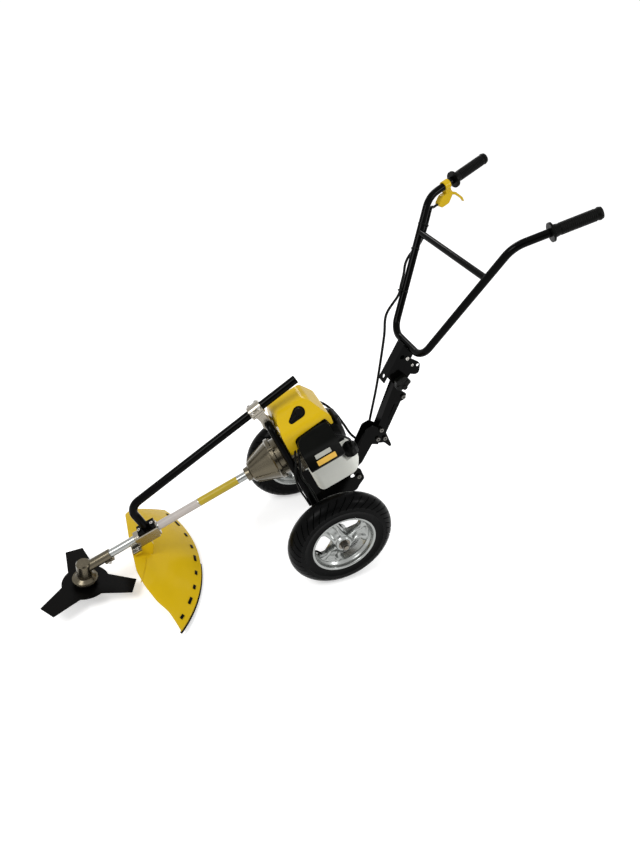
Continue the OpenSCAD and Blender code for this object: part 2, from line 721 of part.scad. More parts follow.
// Guard
guard_mid = [guard_back - guard_r, 36, 0];
guard_run = 198;
function guard_z(r) = guard_h * (1 - pow(max(0, (r - guard_r + guard_run) / guard_run), 1.35));
guard_steps = 10;
guard_deep = 250;
guard_line = [for (i = [0:guard_steps])
  let (r = guard_r - guard_deep * (1 - i / guard_steps)) [r, guard_z(r)]];
guard_profile = concat(guard_line, [[guard_r, -guard_lip], [guard_r - guard_t, -guard_lip]],
  [for (i = [guard_steps:-1:0])
    [guard_line[i][0] - (i == guard_steps ? guard_t : 0), guard_line[i][1] - guard_t * 1.15]]);
guard_plan = rounded([
  [guard_front + 6, 174], [guard_front + 34, 216], [guard_front + 152, 262], [guard_r, 300],
  [guard_r, -300], [guard_front + 106, -292], [guard_front + 88, -252], [guard_front + 68, -210],
  [guard_front + 40, -182], [guard_front + 14, -134], [guard_front, -84], [guard_front, 60]
], [34, 40, 50, 0, 0, 0, 40, 60, 90, 90, 60, 0]);
neck = let (x = bracket_x - bracket_l / 2 - 26, low = bracket_low - pad_t)
  [[x, low], [x + 62, low], [x + 62, low - 12], [x + 36, low - 52], [x, low - 7]];
slot_span = 64;
slot_mid = -6;
skirt_from = -40.5;
skirt_to = 30;
skirt_low = 52;
module guard() {
  color(yellow) difference() {
    union() {
      blade_frame() intersection() {
        translate(guard_mid) rotate_extrude($fn = 180) polygon(guard_profile);
        translate([0, 0, -40]) linear_extrude(200) polygon(guard_plan);
      }
      crank_frame() plate_y(neck, -tube_r - 8, tube_r + 8);
      crank_frame() plate_y([neck[0], [neck[0][0] + 24, neck[0][1]], [neck[0][0] + 24, neck[0][1] - 6],
        [neck[0][0], neck[0][1] - 6]], -guard_bolt_y - 8, guard_bolt_y + 8);
    }
    blade_frame() translate(guard_mid) for (i = [0:slot_count - 1])
      rotate([0, 0, slot_mid + (i / (slot_count - 1) - 0.5) * slot_span])
        translate([guard_r - 19, -7, -10]) cube([5, i % 3 == 1 ? 20 : 11, 60]);
    crank_frame() for (y = [-guard_bolt_y, guard_bolt_y])
      translate([guard_bolt_x[0], y, neck[0][1] - 10]) cylinder(r = m6_r + bolt_gap, h = 20);
  }
}
skirt_t = 3;
module guard_skirt() {
  color(black) blade_frame() difference() {
    translate(guard_mid) rotate([0, 0, skirt_from]) rotate_extrude(angle = skirt_to - skirt_from, $fn = 180)
      translate([guard_r - guard_t - skirt_t - fit_gap, -skirt_h]) square([skirt_t, skirt_h - 6]);
    rotate([0, shaft_tilt - spindle_lean, 0]) translate([0, -guard_r, -skirt_low - 100])
      cube([guard_r, 2 * guard_r, 100]);
  }
}
module guard_bracket() {
  color(cast_grey) crank_frame() difference() {
    union() {
      plate_x(rounded([[-bracket_half, bracket_low - 1], [bracket_half, bracket_low - 1], [bracket_half, bracket_top],
        [-bracket_half, bracket_top]], [0, 0, 8, 8]), bracket_x - bracket_l / 2, bracket_x + bracket_l / 2);
      translate([neck[0][0], -bracket_half, bracket_low - pad_t]) cube([bracket_l + 18, 2 * bracket_half, pad_t]);
      translate([neck[0][0], -guard_bolt_y - 8, bracket_low - pad_t])
        cube([28, 2 * (guard_bolt_y + 8), pad_t - 0.5]);
    }
    rod_x(tube_r + fit_gap, bracket_x - bracket_l, bracket_x + bracket_l);
    for (x = [-21, 21]) translate([x - shoe_x, 0, 0]) cylinder(r = m6_r + bolt_gap, h = bracket_top + 1);
    for (y = [-guard_bolt_y, guard_bolt_y])
      translate([guard_bolt_x[0], y, bracket_low - pad_t - 1]) cylinder(r = m6_r + bolt_gap, h = pad_t + 2);
  }
}

// Engine
case_front = -6;
case_back = 138;
module clutch_case() {
  color(cast_grey) crank_frame() difference() {
    union() {
      turned_x([[-152, 0], [-152, 21], [-138, 23], [-134, 32], [-66, 58], [-60, 60], [-56, bell_r],
        [-46, bell_r], [-44, 58], [case_front, 58], [case_front, 0]]);
      for (a = [20, 160, 250, 290]) rotate([a, 0, 0]) translate([0, 0, bell_r - 4]) rod_x(9, -58, -40);
      for (a = [0:45:315]) rotate([a, 0, 0]) plate_y([[-134, 26], [-60, 52], [-60, 62], [-128, 38]], -2, 2);
    }
    rod_x(tube_r + fit_gap, -160, tube_back + 0.1);
    rod_x(tube_r - tube_wall, -160, -98);
    rod_x(44, -98, case_front + 1);
  }
}
module clutch_drum() {
  color(silver) crank_frame() difference() {
    turned_x([[-94, 0], [-94, 10], [-84, 10], [-84, 40], [-40, 40], [-40, 37], [-81, 37], [-81, 10],
      [-64, 10], [-64, 0]]);
    rod_x(shaft_d / 2, -100, -40);
  }
}
crank_room = 41;
module crankcase() {
  color(cast_grey) crank_frame() difference() {
    union() {
      rod_x(50, case_front, case_back);
      plate_x(rounded([[-46, -tank_top], [46, -tank_top], [46, 0], [-46, 0]], [4, 4, 0, 0]), 10, 132);
      plate_x([[-44, 20], [44, 20], [44, deck_z], [-44, deck_z]], 14, 132);
      translate([0, -50, deck_z - 4]) cube([case_back - 0.5, 110, 4]);
    }
    rod_x(crank_room, case_front - 1, case_back + 1);
  }
}
fin_low = deck_z;
fin_step = 9;
cylinder_x = 76;
module cylinder_block() {
  color(cast_grey) difference() {
    crank_frame() translate([cylinder_x, 0, fin_low]) {
      cylinder(r = 26, h = fin_count * fin_step + 6);
      for (i = [0:fin_count - 1]) translate([0, 0, 4 + i * fin_step]) linear_extrude(2.5)
        polygon(rounded([[-38, -36], [38, -36], [38, 36], [-38, 36]], 10));
      translate([-20, -42, 8]) cube([40, 84, 28]);
    }
    plug_frame() {
      translate([0, 0, 12.9]) cylinder(r = 13, h = 60);
      translate([0, 0, -1]) cylinder(r = 5 + fit_gap, h = 20);
    }
  }
}
plug_root = [cylinder_x, -14, fin_low + fin_count * fin_step - 8];
module plug_frame() {
  crank_frame() translate(plug_root) rotate([44, 0, 0]) children();
}
module spark_plug() {
  color("white") plug_frame() {
    cylinder(r = 5, h = 14);
    translate([0, 0, 13]) cylinder(r = 10.5, h = 9, $fn = 6);
    translate([0, 0, 22]) cylinder(r1 = 8, r2 = 5, h = 5);
    translate([0, 0, 22]) cylinder(r = 5, h = 16);
  }
}
module plug_cap() {
  color(black) plug_frame() difference() {
    union() {
      translate([0, 0, 27]) rotate(drop_turn) linear_extrude(8) polygon(drop_outline(drop_gap));
      translate([0, 0, 34]) cylinder(r = 13, h = 4);
      translate([0, 0, 38]) cylinder(r1 = 13, r2 = 9, h = 5);
      translate([0, 0, 35]) rotate([0, 90, 180 + drop_turn]) cylinder(r = 4.5, h = drop_tail);
    }
    translate([0, 0, 22]) cylinder(r = 5, h = 16);
  }
}
cover_side = rounded([
  [-4.5, 36], [20, 36], [26, 84], [132, 98], [140, 66], [148, 66], [151, 98], [114, cover_top], [10, cover_top],
  [-3, 110]
], [4, 5, 16, 6, 3, 3, 34, 30, 26, 60], 8);
cover_front = rounded([[66, 36], [66, 128], [62, cover_top], [-20, cover_top], [-68, 112], [-68, 36]],
  [0, 30, 22, 44, 36, 0], 8);
function shrunk(outline, by) =
  let (n = len(outline), mid = [for (k = [0, 1]) (max([for (p = outline) p[k]]) + min([for (p = outline) p[k]])) / 2],
    half = [for (k = [0, 1]) (max([for (p = outline) p[k]]) - min([for (p = outline) p[k]])) / 2])
  [for (p = outline) [for (k = [0, 1]) mid[k] + (p[k] - mid[k]) * (half[k] - by) / half[k]]];
// Drop-shaped opening over the plug: a round head that narrows to a round tail
drop_r = 18;
drop_tail_r = 8;
drop_tail = 34;
drop_turn = 22;
drop_gap = 1.2;
function arc(centre, r, from, to, steps) =
  [for (i = [0:steps]) let (a = from + (to - from) * i / steps) centre + r * [cos(a), sin(a)]];
function drop_outline(by) =
  let (head = drop_r - by, tail = drop_tail_r - by, a = 90 + asin((head - tail) / drop_tail))
  concat(arc([0, 0], head, -a, a, 20), arc([-drop_tail, 0], tail, a, 360 - a, 8));
module teardrop() {
  translate(plug_root) rotate([44, 0, 0]) translate([0, 0, 20]) rotate(drop_turn)
    linear_extrude(60) polygon(drop_outline(0));
}
module top_cover() {
  color(yellow) crank_frame() difference() {
    intersection() {
      plate_y(cover_side, -80, 80);
      plate_x(cover_front, -30, 170);
    }
    intersection() {
      translate([0, 0, -cover_t]) plate_y(shrunk(cover_side, cover_t), -80, 80);
      translate([0, 0, -cover_t]) plate_x(shrunk(cover_front, cover_t), -30, 170);
    }
    teardrop();
    rod_x(starter_r + 3, -30, 170);
    translate([-1, -62, 30]) cube([146, 120, 55]);
  }
}
muffler_side = rounded([[24, -40], [128, -40], [137, -28], [133, 92], [96, 92], [34, 86], [22, 60], [22, -20]],
  [26, 24, 12, 14, 30, 26, 24, 24], 7);
muffler_out = 106;
muffler_front = rounded([[-70, -40], [-muffler_out, -40], [-muffler_out, 40], [-76, 92], [-70, 92]],
  [0, 20, 34, 10, 0], 7);
muffler_inner = let (t = cover_t)
  rounded([[-60, t - 40], [t - muffler_out, t - 40], [t - muffler_out, 40], [t - 76, 92 - t], [-60, 92 - t]],
    [0, 18, 32, 8, 0], 7);
module muffler_cover() {
  color(black) crank_frame() difference() {
    intersection() {
      plate_y(muffler_side, -110, -70);
      plate_x(muffler_front, 0, 140);
    }
    intersection() {
      plate_y(shrunk(muffler_side, cover_t), -110, -60);
      plate_x(muffler_inner, 0, 140);
    }
  }
}
module muffler() {
  color(silver) crank_frame() {
    difference() {
      plate_x(rounded([[-52, -22], [-97, -22], [-97, 34], [-82, 66], [-52, 66]], [6, 12, 16, 10, 6]), 34, 116);
      plate_x(rounded([[-54.5, -18], [-93, -18], [-93, 33], [-80, 62], [-54.5, 62]], [0, 10, 14, 8, 0]), 38, 112);
      translate([75, -50, 10]) rod_y(14, -10, 2);
    }
    plate_y(rounded([[58, deck_z + 1], [94, deck_z + 1], [94, deck_z + 40], [58, deck_z + 40]], 4), -54, -42);
    for (x = [50, 100]) translate([x, 0, -4]) rod_y(5, cover_t + seat_gap - muffler_out, -95);
  }
}
carb_y = 42;
module carburettor() {
  color(cast_grey) crank_frame() {
    translate([56, carb_y, deck_z + 8]) cube([40, 30, 24]);
    translate([66, carb_y + 6, deck_z]) cube([20, 20, 9]);
    translate([95, carb_y + 15, deck_z + 20]) rod_x(7, 0, 10);
  }
}
filter_side = rounded([[34, 56], [118, 56], [118, 118], [34, 118]], [10, 10, 16, 16]);
module air_filter_cover() {
  color(black) crank_frame() difference() {
    union() {
      plate_y(filter_side, carb_y + 30, carb_y + 58);
      plate_y(rounded([[46, 66], [114, 62], [114, 108], [46, 108]], 12), carb_y + 58, carb_y + 64);
    }
    translate(choke_at) rod_y(3 + run_gap, -13, 5);
  }
}
module starter_case() {
  color(black) crank_frame() difference() {
    union() {
      turned_x([[case_back, 0], [case_back, starter_r], [case_back + 20, starter_r], [case_back + 32, starter_r - 9],
        [case_back + 35, starter_r - 22], [case_back + 35, 0]]);
      translate([rope_at[0], rope_at[1], 20]) cylinder(r = 11, h = rope_at[2] - 20);
    }
    for (a = [15:30:345]) rotate([a, 0, 0]) translate([case_back + 29, -2.5, 16]) cube([10, 5, 26]);
    translate([rope_at[0], rope_at[1], rope_at[2] - 18]) cylinder(r = rope_r + seat_gap, h = 40);
  }
}
rope_y = -34;
rope_at = [case_back + 25, rope_y, sqrt(starter_r * starter_r - rope_y * rope_y) + 4];
handle_half = 17;
rope_gap = 3;
rope_r = 2;
module starter_rope() {
  color("dimgray") crank_frame() translate([rope_at[0], rope_at[1], rope_at[2] - 10])
    cylinder(r = rope_r, h = 10 + rope_gap);
}
module starter_handle() {
  color(black) crank_frame() translate([rope_at[0], rope_at[1], rope_at[2] + rope_gap]) difference() {
    union() {
      cylinder(r1 = 7, r2 = 9, h = 8);
      translate([0, 0, 14]) rod_y(9, -handle_half, handle_half);
      for (y = [-handle_half, handle_half]) translate([0, y, 14]) sphere(9);
    }
    translate([0, 0, 2]) cylinder(r = 3, h = 8);
  }
}
tank_side = rounded([
  [20, -tank_low], [150, -tank_low], [178, -tank_low + 34], [178, -tank_top - tank_step],
  [133, -tank_top - tank_step], [125, -tank_top], [20, -tank_top]
], [14, 40, 30, 12, 8, 6, 10]);
tank_plan = rounded([[18, -tank_half], [180, -tank_half], [180, tank_half], [18, tank_half]], [22, 40, 40, 22]);
cap_at = [162, -47];
neck_r = 17;
module fuel_tank() {
  color("ivory") crank_frame() {
    intersection() {
      plate_y(tank_side, -tank_half, tank_half);
      translate([0, 0, -tank_low - 1]) linear_extrude(tank_h + 2) polygon(tank_plan);
    }
    translate([cap_at[0], cap_at[1], -tank_top - tank_step - 2]) cylinder(r = neck_r, h = 16);
  }
}
module tank_feet() {
  color("gray") crank_frame() {
    for (x = foot_x, y = [-34, 34]) translate([x, y, -chassis_top]) difference() {
      cylinder(r = 11, h = tank_foot_h);
      translate([0, 0, -1]) cylinder(r = m6_r, h = tank_foot_h - 3);
    }
  }
}
module fuel_cap() {
  color(black) crank_frame() translate([cap_at[0], cap_at[1], -tank_top - tank_step + side_gap]) difference() {
    union() {
      cylinder(r = 23, h = 26);
      translate([0, 0, 26]) cylinder(r1 = 23, r2 = 18, h = 6);
      for (a = [0:30:330]) rotate([0, 0, a]) translate([21, -2, 2]) cube([3, 4, 23]);
    }
    translate([0, 0, -1]) cylinder(r = neck_r + run_gap, h = 16);
  }
}
choke_at = [104, carb_y + 64, 72];
module choke_lever() {
  color("firebrick") crank_frame() translate(choke_at) {
    rod_y(3, -12, 4);
    plate_y(rounded([[-5, -5], [-5, 5], [4, 24], [10, 24], [6, -5]], 3), side_gap, 4);
  }
}

// Column
column_low = -column_len;
lug_at = [-56, -35];
brace_low = [279, -141];
cheek = rounded([
  [156, -194], [180, -186], [236, -136], [272, -158], [284, -188], [291, -184], [290, -118], [262, -72], [236, -72],
  [192, -118], [146, -172]
], [10, 12, 10, 12, 3, 4, 16, 10, 10, 20, 14]);
function column_point(p) = [pivot_x + p[0] * cos(column_lean) - p[1] * sin(column_lean),
  pivot_z + p[0] * sin(column_lean) + p[1] * cos(column_lean)];
lug_point = column_point(lug_at);
column_bolts = [[-178, 0], [-212, 0]];
module column() {
  color(black) column_frame() difference() {
    union() {
      plate_y([[column_low, -column_deep / 2], [0, -column_deep / 2], [0, column_deep / 2],
        [column_low, column_deep / 2]], -column_half, column_half);
      rod_y(column_deep / 2, -column_half, column_half);
      for (y = [-column_half, column_half - sheet_t])
        plate_y(rounded([[-86, 1 - column_deep / 2], [lug_at[0] - 12, lug_at[1] - 8],
          [lug_at[0] + 10, lug_at[1] - 10], [-32, 1 - column_deep / 2]], [0, 8, 8, 0]), y, y + sheet_t);
    }
    plate_y([[column_low - 1, 2.5 - column_deep / 2], [-20, 2.5 - column_deep / 2], [-20, column_deep / 2 - 2.5],
      [column_low - 1, column_deep / 2 - 2.5]], 2.5 - column_half, column_half - 2.5);
    rod_y(knob_bolt_r + run_gap, -column_half - 1, column_half + 1);
    translate([lug_at[0], 0, lug_at[1]]) rod_y(m8_r + bolt_gap, -column_half - 1, column_half + 1);
    for (p = column_bolts) translate([p[0], 0, p[1]]) rod_y(m8_r + bolt_gap, -column_half - 1, column_half + 1);
  }
}
module column_bracket() {
  color(black) crank_frame() difference() {
    union() {
      for (side = [-1, 1]) plate_y(cheek, side > 0 ? column_half : -column_half - sheet_t,
        side > 0 ? column_half + sheet_t : -column_half);
      translate([brace_hole[0], 0, brace_hole[1]]) rod_y(10, sheet_t - chassis_half, chassis_half - sheet_t);
    }
    translate([brace_hole[0], 0, brace_hole[1]]) rod_y(m8_r + bolt_gap, -chassis_half, chassis_half);
    translate([brace_low[0], 0, brace_low[1]]) rod_y(m8_r + bolt_gap, -chassis_half, chassis_half);
    for (p = column_bolts) translate([column_point(p)[0], 0, column_point(p)[1]])
      rod_y(m8_r + bolt_gap, -chassis_half, chassis_half);
  }
}
module column_brace() {
  d = unit(lug_point - brace_low);
  s = 8 * [-d[1], d[0]];
  color(black) crank_frame() difference() {
    union() {
      plate_y([brace_low - s, lug_point - s, lug_point + s, brace_low + s], -5, 5);
      translate([brace_low[0], 0, brace_low[1]]) rod_y(10, -column_half, column_half);
      translate([lug_point[0], 0, lug_point[1]]) rod_y(9, sheet_t - column_half, column_half - sheet_t);
    }
    for (p = [brace_low, lug_point]) translate([p[0], 0, p[1]])
      rod_y(m8_r + bolt_gap, -column_half - 1, column_half + 1);
  }
}
module cross_bolt(half) {
  translate([0, -half, 0]) rotate([90, 0, 0]) bolt(m8_r, 2 * half + 8);
  translate([0, half, 0]) rotate([-90, 0, 0]) difference() {
    cylinder(r = 1.8 * m8_r, h = 6.5, $fn = 6);
    translate([0, 0, -1]) cylinder(r = m8_r, h = 9);
  }
}
module frame_bolts() {
  color(silver) crank_frame() {
    translate([brace_hole[0], 0, brace_hole[1]]) cross_bolt(chassis_half);
    translate([brace_low[0], 0, brace_low[1]]) cross_bolt(column_half + sheet_t);
    translate([lug_point[0], 0, lug_point[1]]) cross_bolt(column_half);
    for (p = column_bolts) translate([column_point(p)[0], 0, column_point(p)[1]])
      cross_bolt(column_half + sheet_t);
  }
}

// Handlebar
web_n = 50;
bar_n = 27;
bend_n = 45;
arm_a = [bar_foot, bar_foot_half, bar_n];
arm_b = [bar_bend, bar_bend_half, bend_n];
end_dir = let (down = bracket_lean + 1.5) [cos(bar_splay) * cos(down), sin(bar_splay), -cos(bar_splay) * sin(down)];
arm_c = arm_b + bar_end * end_dir;
function left(p) = [p[0], -p[1], p[2]];
bar_path = [left(arm_c), left(arm_b), left(arm_a), arm_a, arm_b, arm_c];
bar_bends = [0, 75, 55, 55, 75, 0];
cross_a = arm_a + crossbar_at * (arm_b - arm_a);
module handlebar() {
  color(black) bracket_frame() {
    bent_tube(bar_path, bar_bends, bar_r, bar_wall);
    difference() {
      translate([cross_a[0], 0, cross_a[2]]) rod_y(crossbar_d / 2, -cross_a[1], cross_a[1]);
      along(arm_a, unit(arm_b - arm_a)) cylinder(r = bar_r - bar_wall / 2, h = norm(arm_b - arm_a));
      along(left(arm_a), unit(left(arm_b - arm_a))) cylinder(r = bar_r - bar_wall / 2, h = norm(arm_b - arm_a));
    }
  }
}
bracket_cheek = rounded([
  [-20, 0], [0, -20], [34, -24], [70, 2], [bar_foot, 6], [bar_foot, web_n], [0, web_n], [-12, 26]
], [14, 18, 16, 14, 6, 3, 3, 16]);
ear = rounded([[28, -22], [34, -54], [72, -36], [76, 2], [60, 4]], [4, 20, 20, 4, 0]);
module bar_bracket() {
  color(black) bracket_frame() difference() {
    union() {
      for (y = [-cheek_in - sheet_t, cheek_in]) plate_y(bracket_cheek, y, y + sheet_t);
      plate_y(ear, -cheek_in - sheet_t, -cheek_in);
      plate_x(rounded([[-cheek_in - sheet_t, web_n - sheet_t], [cheek_in + sheet_t, web_n - sheet_t],
        [cheek_in + sheet_t, web_n], [-cheek_in - sheet_t, web_n]], 0), -22, bar_foot);
    }
    translate([bar_foot, 0, bar_n]) rod_y(bar_r + fit_gap, -60, 60);
    rod_y(knob_bolt_r + run_gap, -60, 60);
    translate([72, 0, 34]) rod_y(7, -60, 60);
    translate([62, 0, -32]) rod_y(5, -60, 0);
    translate([-6, 0, 30]) cylinder(r = 6, h = 40);
  }
}
knob_y = -cheek_in - sheet_t;
module pivot_bolt() {
  color(silver) bracket_frame() {
    rod_y(knob_bolt_r, knob_y - 14, cheek_in + sheet_t + 6);
    translate([0, cheek_in + sheet_t, 0]) rotate([-90, 0, 0]) cylinder(r = 9.5, h = 7, $fn = 6);
  }
}
knob_lobes = 5;
module star_knob() {
  color("dimgray") bracket_frame() translate([0, knob_y - side_gap, 0]) rotate([90, 0, 0]) difference() {
    union() {
      cylinder(r = 12, h = 8);
      translate([0, 0, 6]) cylinder(r = 21.5, h = 14);
      for (i = [0:knob_lobes - 1]) rotate([0, 0, 18 + i * 360 / knob_lobes]) translate([17, 0, 5])
        cylinder(r = 8, h = 17);
    }
    translate([0, 0, -1]) cylinder(r = knob_bolt_r + run_gap, h = 17);
    translate([0, 0, 19]) cylinder(r = 6, h = 5);
  }
}
// Frame of a handlebar end: x along the tube, y across, z to the front
module end_frame(side) {
  bracket_frame() multmatrix([[1, 0, 0, 0], [0, side, 0, 0], [0, 0, 1, 0], [0, 0, 0, 1]])
    translate(arm_b) rotate([0, bracket_lean + 1.5, 0]) rotate([0, 0, bar_splay]) children();
}
grip_from = bar_end - grip_len + 6;
grip_line = [
  [grip_from, bar_r + fit_gap], [grip_from, 25], [grip_from + 6, 25], [grip_from + 9, grip_d / 2 + 1.5],
  [grip_from + 22, grip_d / 2 - 1], [bar_end - 8, grip_d / 2 - 1], [bar_end - 2, grip_d / 2 + 1],
  [bar_end + 5, grip_d / 2 - 1], [bar_end + 6, grip_d / 2 - 5], [bar_end + 6, 0], [bar_end + fit_gap, 0],
  [bar_end + fit_gap, bar_r + fit_gap]
];
module grip(side) {
  color(black) end_frame(side) turned_x(grip_line);
}
module grip_left() { grip(-1); }
module grip_right() { grip(1); }
throttle_x = 66;
module throttle_clamp() {
  color(silver) end_frame(1) difference() {
    union() {
      rod_x(bar_r + 3.5, throttle_x - 10, throttle_x + 10);
      translate([throttle_x - 10, -9, -bar_r - 10]) cube([20, 18, 10]);
    }
    rod_x(bar_r + fit_gap, throttle_x - 11, throttle_x + 11);
  }
}
body_top = -bar_r - 10;
throttle_profile = rounded([
  [throttle_x - 46, body_top - 16], [throttle_x - 26, body_top], [throttle_x + 12, body_top],
  [throttle_x + 14, body_top - 12], [throttle_x - 8, body_top - 32], [throttle_x - 38, body_top - 32]
], [8, 10, 3, 8, 12, 10]);
trigger_at = [throttle_x + 6, body_top - 8];
module throttle_body() {
  color(yellow) end_frame(1) {
    difference() {
      plate_y(throttle_profile, -9, 9);
      translate([throttle_x - 14, -3.4, body_top - 24]) cube([40, 6.8, 25]);
    }
    translate([trigger_at[0], 0, trigger_at[1]]) rod_y(2, -8, 8);
    translate([throttle_x - 14, -3.5, body_top - 2.5]) cube([26, 7, 2.5]);
  }
}
module throttle_trigger() {
  color(yellow) end_frame(1) translate([trigger_at[0], 0, trigger_at[1]]) difference() {
    union() {
      rod_y(4.8, -3, 3);
      plate_y(rounded([[-4, -4], [2, 4.6], [24, -10], [44, -38], [47, -52], [43, -52], [38, -40], [20, -16]],
        [2, 3, 14, 20, 2, 2, 20, 14]), -3, 3);
    }
    rod_y(2 + run_gap, -4, 4);
  }
}

// Throttle cable, in the bracket's frame: it winds along the right arm, hangs free, then runs to the carburettor
cable_r = cable_d / 2;
arm_dir = unit(arm_b - arm_a);
arm_out = unit([-arm_dir[1], arm_dir[0], 0]);
arm_front = cross(arm_dir, arm_out);
cable_off = bar_r + cable_r + 3;
function beside_arm(at, round) =
  arm_a + at * (arm_b - arm_a) + cable_off * (cos(round) * arm_front + sin(round) * arm_out);
function to_bracket(p) = let (x = p[0] - pivot_x, z = p[2] - pivot_z)
  [x * cos(bracket_lean) + z * sin(bracket_lean), p[1], z * cos(bracket_lean) - x * sin(bracket_lean)];
function from_end(p) = let (down = bracket_lean + 1.5, x = p[0] * cos(bar_splay) - p[1] * sin(bar_splay))
  arm_b + [x * cos(down) + p[2] * sin(down), p[0] * sin(bar_splay) + p[1] * cos(bar_splay),
    p[2] * cos(down) - x * sin(down)];
cable_turn = 3;
bar_route = concat(
  [from_end([throttle_x - 44.5, 0, body_top - 18]), from_end([throttle_x - 60, 0, body_top - 18])],
  [for (q = [[0.93, 180], [0.84, 180], [0.75, 178], [0.66, 150], [0.58, 90], [0.5, 30], [0.42, 2], [0.34, 0],
    [0.26, 0]]) beside_arm(q[0], q[1])]);
free_route = [for (p = [[452, 96, 190], [414, 62, 150], [362, 46, 66], [322, 38, 0], [278, 33, -70]]) to_bracket(p)];
engine_route = [for (p = [[246, 30, -122], [228, 30, -141], [208, 33, -138], [194, 42, -110], [188, 56, -64],
  [178, 68, -10], [156, 70, 42], [128, 62, 68], [106.5, 57, 72]]) to_bracket(p)];
cable_curve = spline(concat(bar_route, free_route, engine_route), cable_turn);
cable_cut = [(len(bar_route) - 1) * cable_turn, (len(bar_route) + len(free_route)) * cable_turn];
module cable_upper() {
  color(black) bracket_frame() swept(cable_curve, 0, cable_cut[0], cable_r);
}
module throttle_cable() {
  color(black) bracket_frame() swept(cable_curve, cable_cut[0], cable_cut[1], cable_r);
}
module cable_lower() {
  color(black) bracket_frame() swept(cable_curve, cable_cut[1], len(cable_curve) - 1, cable_r);
}

chassis();
axle();
axle_nuts();
wheel_bearings();
hoop();
strut();
clamp_body();
clamp_cap();
m6_bolts();
frame_bolts();
drive_tube();
shaft_bushes();
gear_head();
head_bearings();
guard();
guard_skirt();
guard_bracket();
clutch_case();
crankcase();
cylinder_block();  // cylinder
spark_plug();
plug_cap();
top_cover();
muffler();
muffler_cover();
carburettor();
air_filter_cover();
starter_case();
starter_rope();
fuel_tank();
tank_feet();
column();
column_bracket();
column_brace();
cable_lower();
throttle_cable();
bar_bracket();
handlebar();
grip_left();
grip_right();
throttle_clamp();
throttle_body();
cable_upper();
pivot_bolt();
star_knob();
throttle_trigger();
starter_handle();
fuel_cap();
choke_lever();
rim_left();
tyre_left();
rim_right();
tyre_right();
spindle();
blade();
blade_holder();
blade_cup();
blade_nut();
drive_shaft();
clutch_drum();
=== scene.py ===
# %% [markdown]
# # A wheeled brush cutter
#
# The construction model holds every part in its true place, in metres, with the
# cutter to -X and the floor at zero. This lesson dresses it: finishes made from
# noise, tread, wheels, cables and ribs built with bmesh operators, soft light,
# and a camera that stands where the photographer stood.

import json
import math

import bmesh
import bpy
from mathutils import Matrix, Vector


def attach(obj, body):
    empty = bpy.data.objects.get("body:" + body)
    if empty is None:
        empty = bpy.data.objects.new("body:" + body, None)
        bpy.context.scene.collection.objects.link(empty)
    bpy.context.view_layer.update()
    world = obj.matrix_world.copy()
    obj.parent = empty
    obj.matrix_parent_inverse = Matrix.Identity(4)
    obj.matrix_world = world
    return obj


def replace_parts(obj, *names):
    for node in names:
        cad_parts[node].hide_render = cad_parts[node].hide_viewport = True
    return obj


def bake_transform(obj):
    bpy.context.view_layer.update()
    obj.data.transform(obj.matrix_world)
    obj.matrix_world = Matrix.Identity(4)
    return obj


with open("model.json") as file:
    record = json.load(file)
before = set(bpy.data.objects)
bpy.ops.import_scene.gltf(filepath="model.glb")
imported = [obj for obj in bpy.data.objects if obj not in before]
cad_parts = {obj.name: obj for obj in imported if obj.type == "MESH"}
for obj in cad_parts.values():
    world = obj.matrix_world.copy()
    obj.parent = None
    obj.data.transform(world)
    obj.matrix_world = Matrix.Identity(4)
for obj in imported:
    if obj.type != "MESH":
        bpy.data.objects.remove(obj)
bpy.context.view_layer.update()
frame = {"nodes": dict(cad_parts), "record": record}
nodes = frame["nodes"]
scene = bpy.context.scene
print("solids to dress:", len(nodes))

# %% [markdown]
# ## Finishes
#
# Real paint, plastic and metal are never one flat colour. One function makes a
# Principled finish in which a cloudy noise moves the colour and the roughness a
# little, a fine noise gives the surface its grain, and a bevel node rounds the
# look of hard edges. Object coordinates keep the pattern fixed to each part.

# %% A finish from noise
cloud_scale, cloud_detail = 16.0, 5.0
bump_depth = 0.001
bevel_samples = 4
smoothest = 0.03


